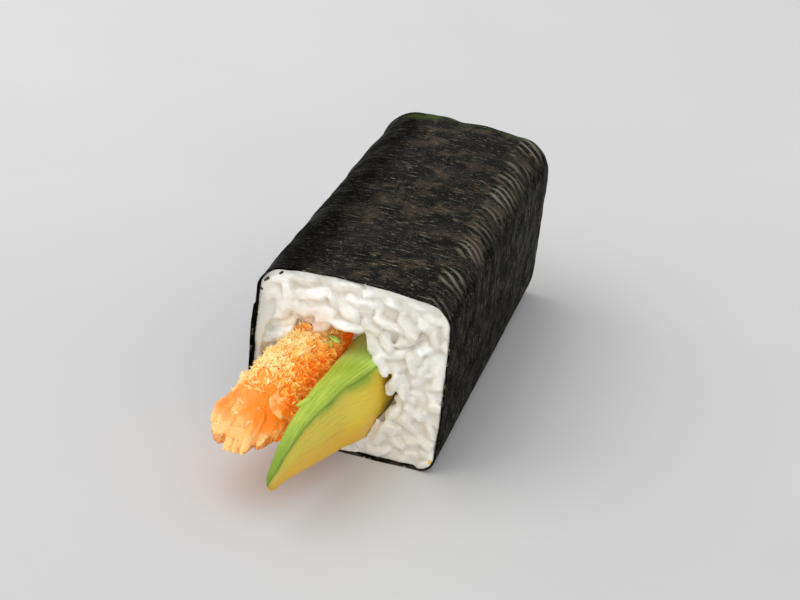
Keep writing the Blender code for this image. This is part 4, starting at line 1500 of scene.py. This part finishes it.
def bit_material(settings):
    made, tree, shader, place = new_material(
        "nori_bit", Metallic=0.0, Roughness=0.6, Specular_IOR_Level=0.2,
    )
    patches = mottle(tree, place, 1500.0, 3.0, 0.4, 0.6)
    linked(
        tree, shader, Base_Color=blend(tree, patches, settings.green, settings.brown),
        Normal=bumped(tree, [(patches, 1.0)], 0.05 * MM),
    )
    return made


class TEMAKI_OT_bits(bpy.types.Operator):
    """Leaves small bits of nori and avocado on the front"""

    bl_idname = "temaki.bits"
    bl_label = "Small bits"

    def execute(self, context):
        draw = random.Random(3)
        nori = bit_material(context.scene.temaki.nori)
        avocado = bpy.data.materials["avocado_slice"]
        for name, rows, material, node, slot in (
            ("nori_bits", NORI_BITS, nori, "nori_wrap", "nori"),
            ("avocado_bits", AVOCADO_BITS, avocado, "avocado_slice", "avocado"),
        ):
            bm = bmesh.new()
            for row in rows:
                clinging(bm, draw, *row)
            skin = bm.verts.layers.float.new("skin")
            for vert in bm.verts:
                vert[skin] = 1.2 if vert.co.z > 20 * MM else 0.35
            finish_piece(object_from(bm, name), material, node, slot)
        return {"FINISHED"}


# The stage

class TEMAKI_OT_stage(bpy.types.Operator):
    """Sets the floor, the lights and the camera"""

    bl_idname = "temaki.stage"
    bl_label = "Stage"

    def execute(self, context):
        settings = context.scene.temaki.stage
        context.scene.view_settings.view_transform = "Standard"
        bm = bmesh.new()
        bmesh.ops.create_grid(bm, x_segments=1, y_segments=1, size=FLOOR_REACH)
        floor = object_from(bm, "floor")
        material, tree, shader, place = new_material("floor", Metallic=0.0, Roughness=0.85)
        _, y, _ = axes_of(tree, place)
        tone = tinted(tree, settings.floor, WHITE, mottle(tree, place, 14.0, 6.0, 0.2, 0.8), 0.08)
        # painted shade: the floor darkens towards the front
        tone = tinted(tree, tone, BLACK, ramp(tree, y, 0.3, -0.3), 0.2)
        linked(tree, shader, Base_Color=tone)
        floor.data.materials.append(material)
        area_light("key", *KEY_LIGHT, settings.key)
        area_light("fill", *FILL_LIGHT, settings.fill)
        world = bpy.data.worlds.new("sky")
        world.use_nodes = True
        background = world.node_tree.nodes["Background"]
        background.inputs["Color"].default_value = (*WHITE, 1.0)
        background.inputs["Strength"].default_value = settings.sky
        context.scene.world = world
        camera = bpy.data.objects.new("camera", bpy.data.cameras.new("camera"))
        camera.data.lens = settings.lens
        camera.data.sensor_width = 36
        camera.data.clip_start = 0.01
        camera.data.clip_end = 50
        back = (EYE - TARGET).normalized()
        right = Vector((0, 0, 1)).cross(back).normalized()
        up = back.cross(right)
        rolled_right = right * math.cos(ROLL) + up * math.sin(ROLL)
        rolled_up = up * math.cos(ROLL) - right * math.sin(ROLL)
        turn = Matrix((rolled_right, rolled_up, back)).transposed().to_4x4()
        camera.matrix_world = Matrix.Translation(EYE) @ turn
        context.scene.collection.objects.link(camera)
        context.scene.camera = camera
        return {"FINISHED"}


def area_light(name, place, size, strength):
    """A soft light, of a width and a height, that faces the roll."""
    light = bpy.data.lights.new(name, "AREA")
    light.shape = "RECTANGLE"
    light.size, light.size_y = size
    light.energy = strength
    lamp = bpy.data.objects.new(name, light)
    lamp.location = place
    lamp.rotation_mode = "QUATERNION"
    lamp.rotation_quaternion = (place - LIT_POINT).to_track_quat("Z", "Y")
    bpy.context.scene.collection.objects.link(lamp)


class TEMAKI_PT_roll(bpy.types.Panel):
    """Lists what the roll is made of, with the settings of each part"""

    bl_label = "Temaki Hand Roll"
    bl_space_type = "VIEW_3D"
    bl_region_type = "UI"
    bl_category = "Temaki"

    def draw(self, context):
        roll = context.scene.temaki
        for operators, settings in PARTS:
            box = self.layout.box()
            for operator in operators:
                box.operator(operator.bl_idname)
            group = getattr(roll, settings)
            for name in group.__annotations__:
                box.prop(group, name)


PARTS = [
    ([TEMAKI_OT_stage], "stage"),
    ([TEMAKI_OT_nori_wrap], "nori"),
    ([TEMAKI_OT_avocado], "avocado"),
    ([TEMAKI_OT_shrimp, TEMAKI_OT_crumbs, TEMAKI_OT_tail], "shrimp"),
    ([TEMAKI_OT_rice, TEMAKI_OT_bits], "rice"),
]
SETTINGS = [
    NoriSettings, RiceSettings, ShrimpSettings, AvocadoSettings, StageSettings, RollSettings,
]
OPERATORS = [operator for operators, _ in PARTS for operator in operators]


def register():
    for kind in [*SETTINGS, *OPERATORS, TEMAKI_PT_roll]:
        bpy.utils.register_class(kind)
    bpy.types.Scene.temaki = PointerProperty(type=RollSettings)


def unregister():
    del bpy.types.Scene.temaki
    for kind in reversed([*SETTINGS, *OPERATORS, TEMAKI_PT_roll]):
        bpy.utils.unregister_class(kind)


def main():
    register()
    for operator in OPERATORS:
        group, name = operator.bl_idname.split(".")
        getattr(getattr(bpy.ops, group), name)()


if __name__ == "__main__":
    main()
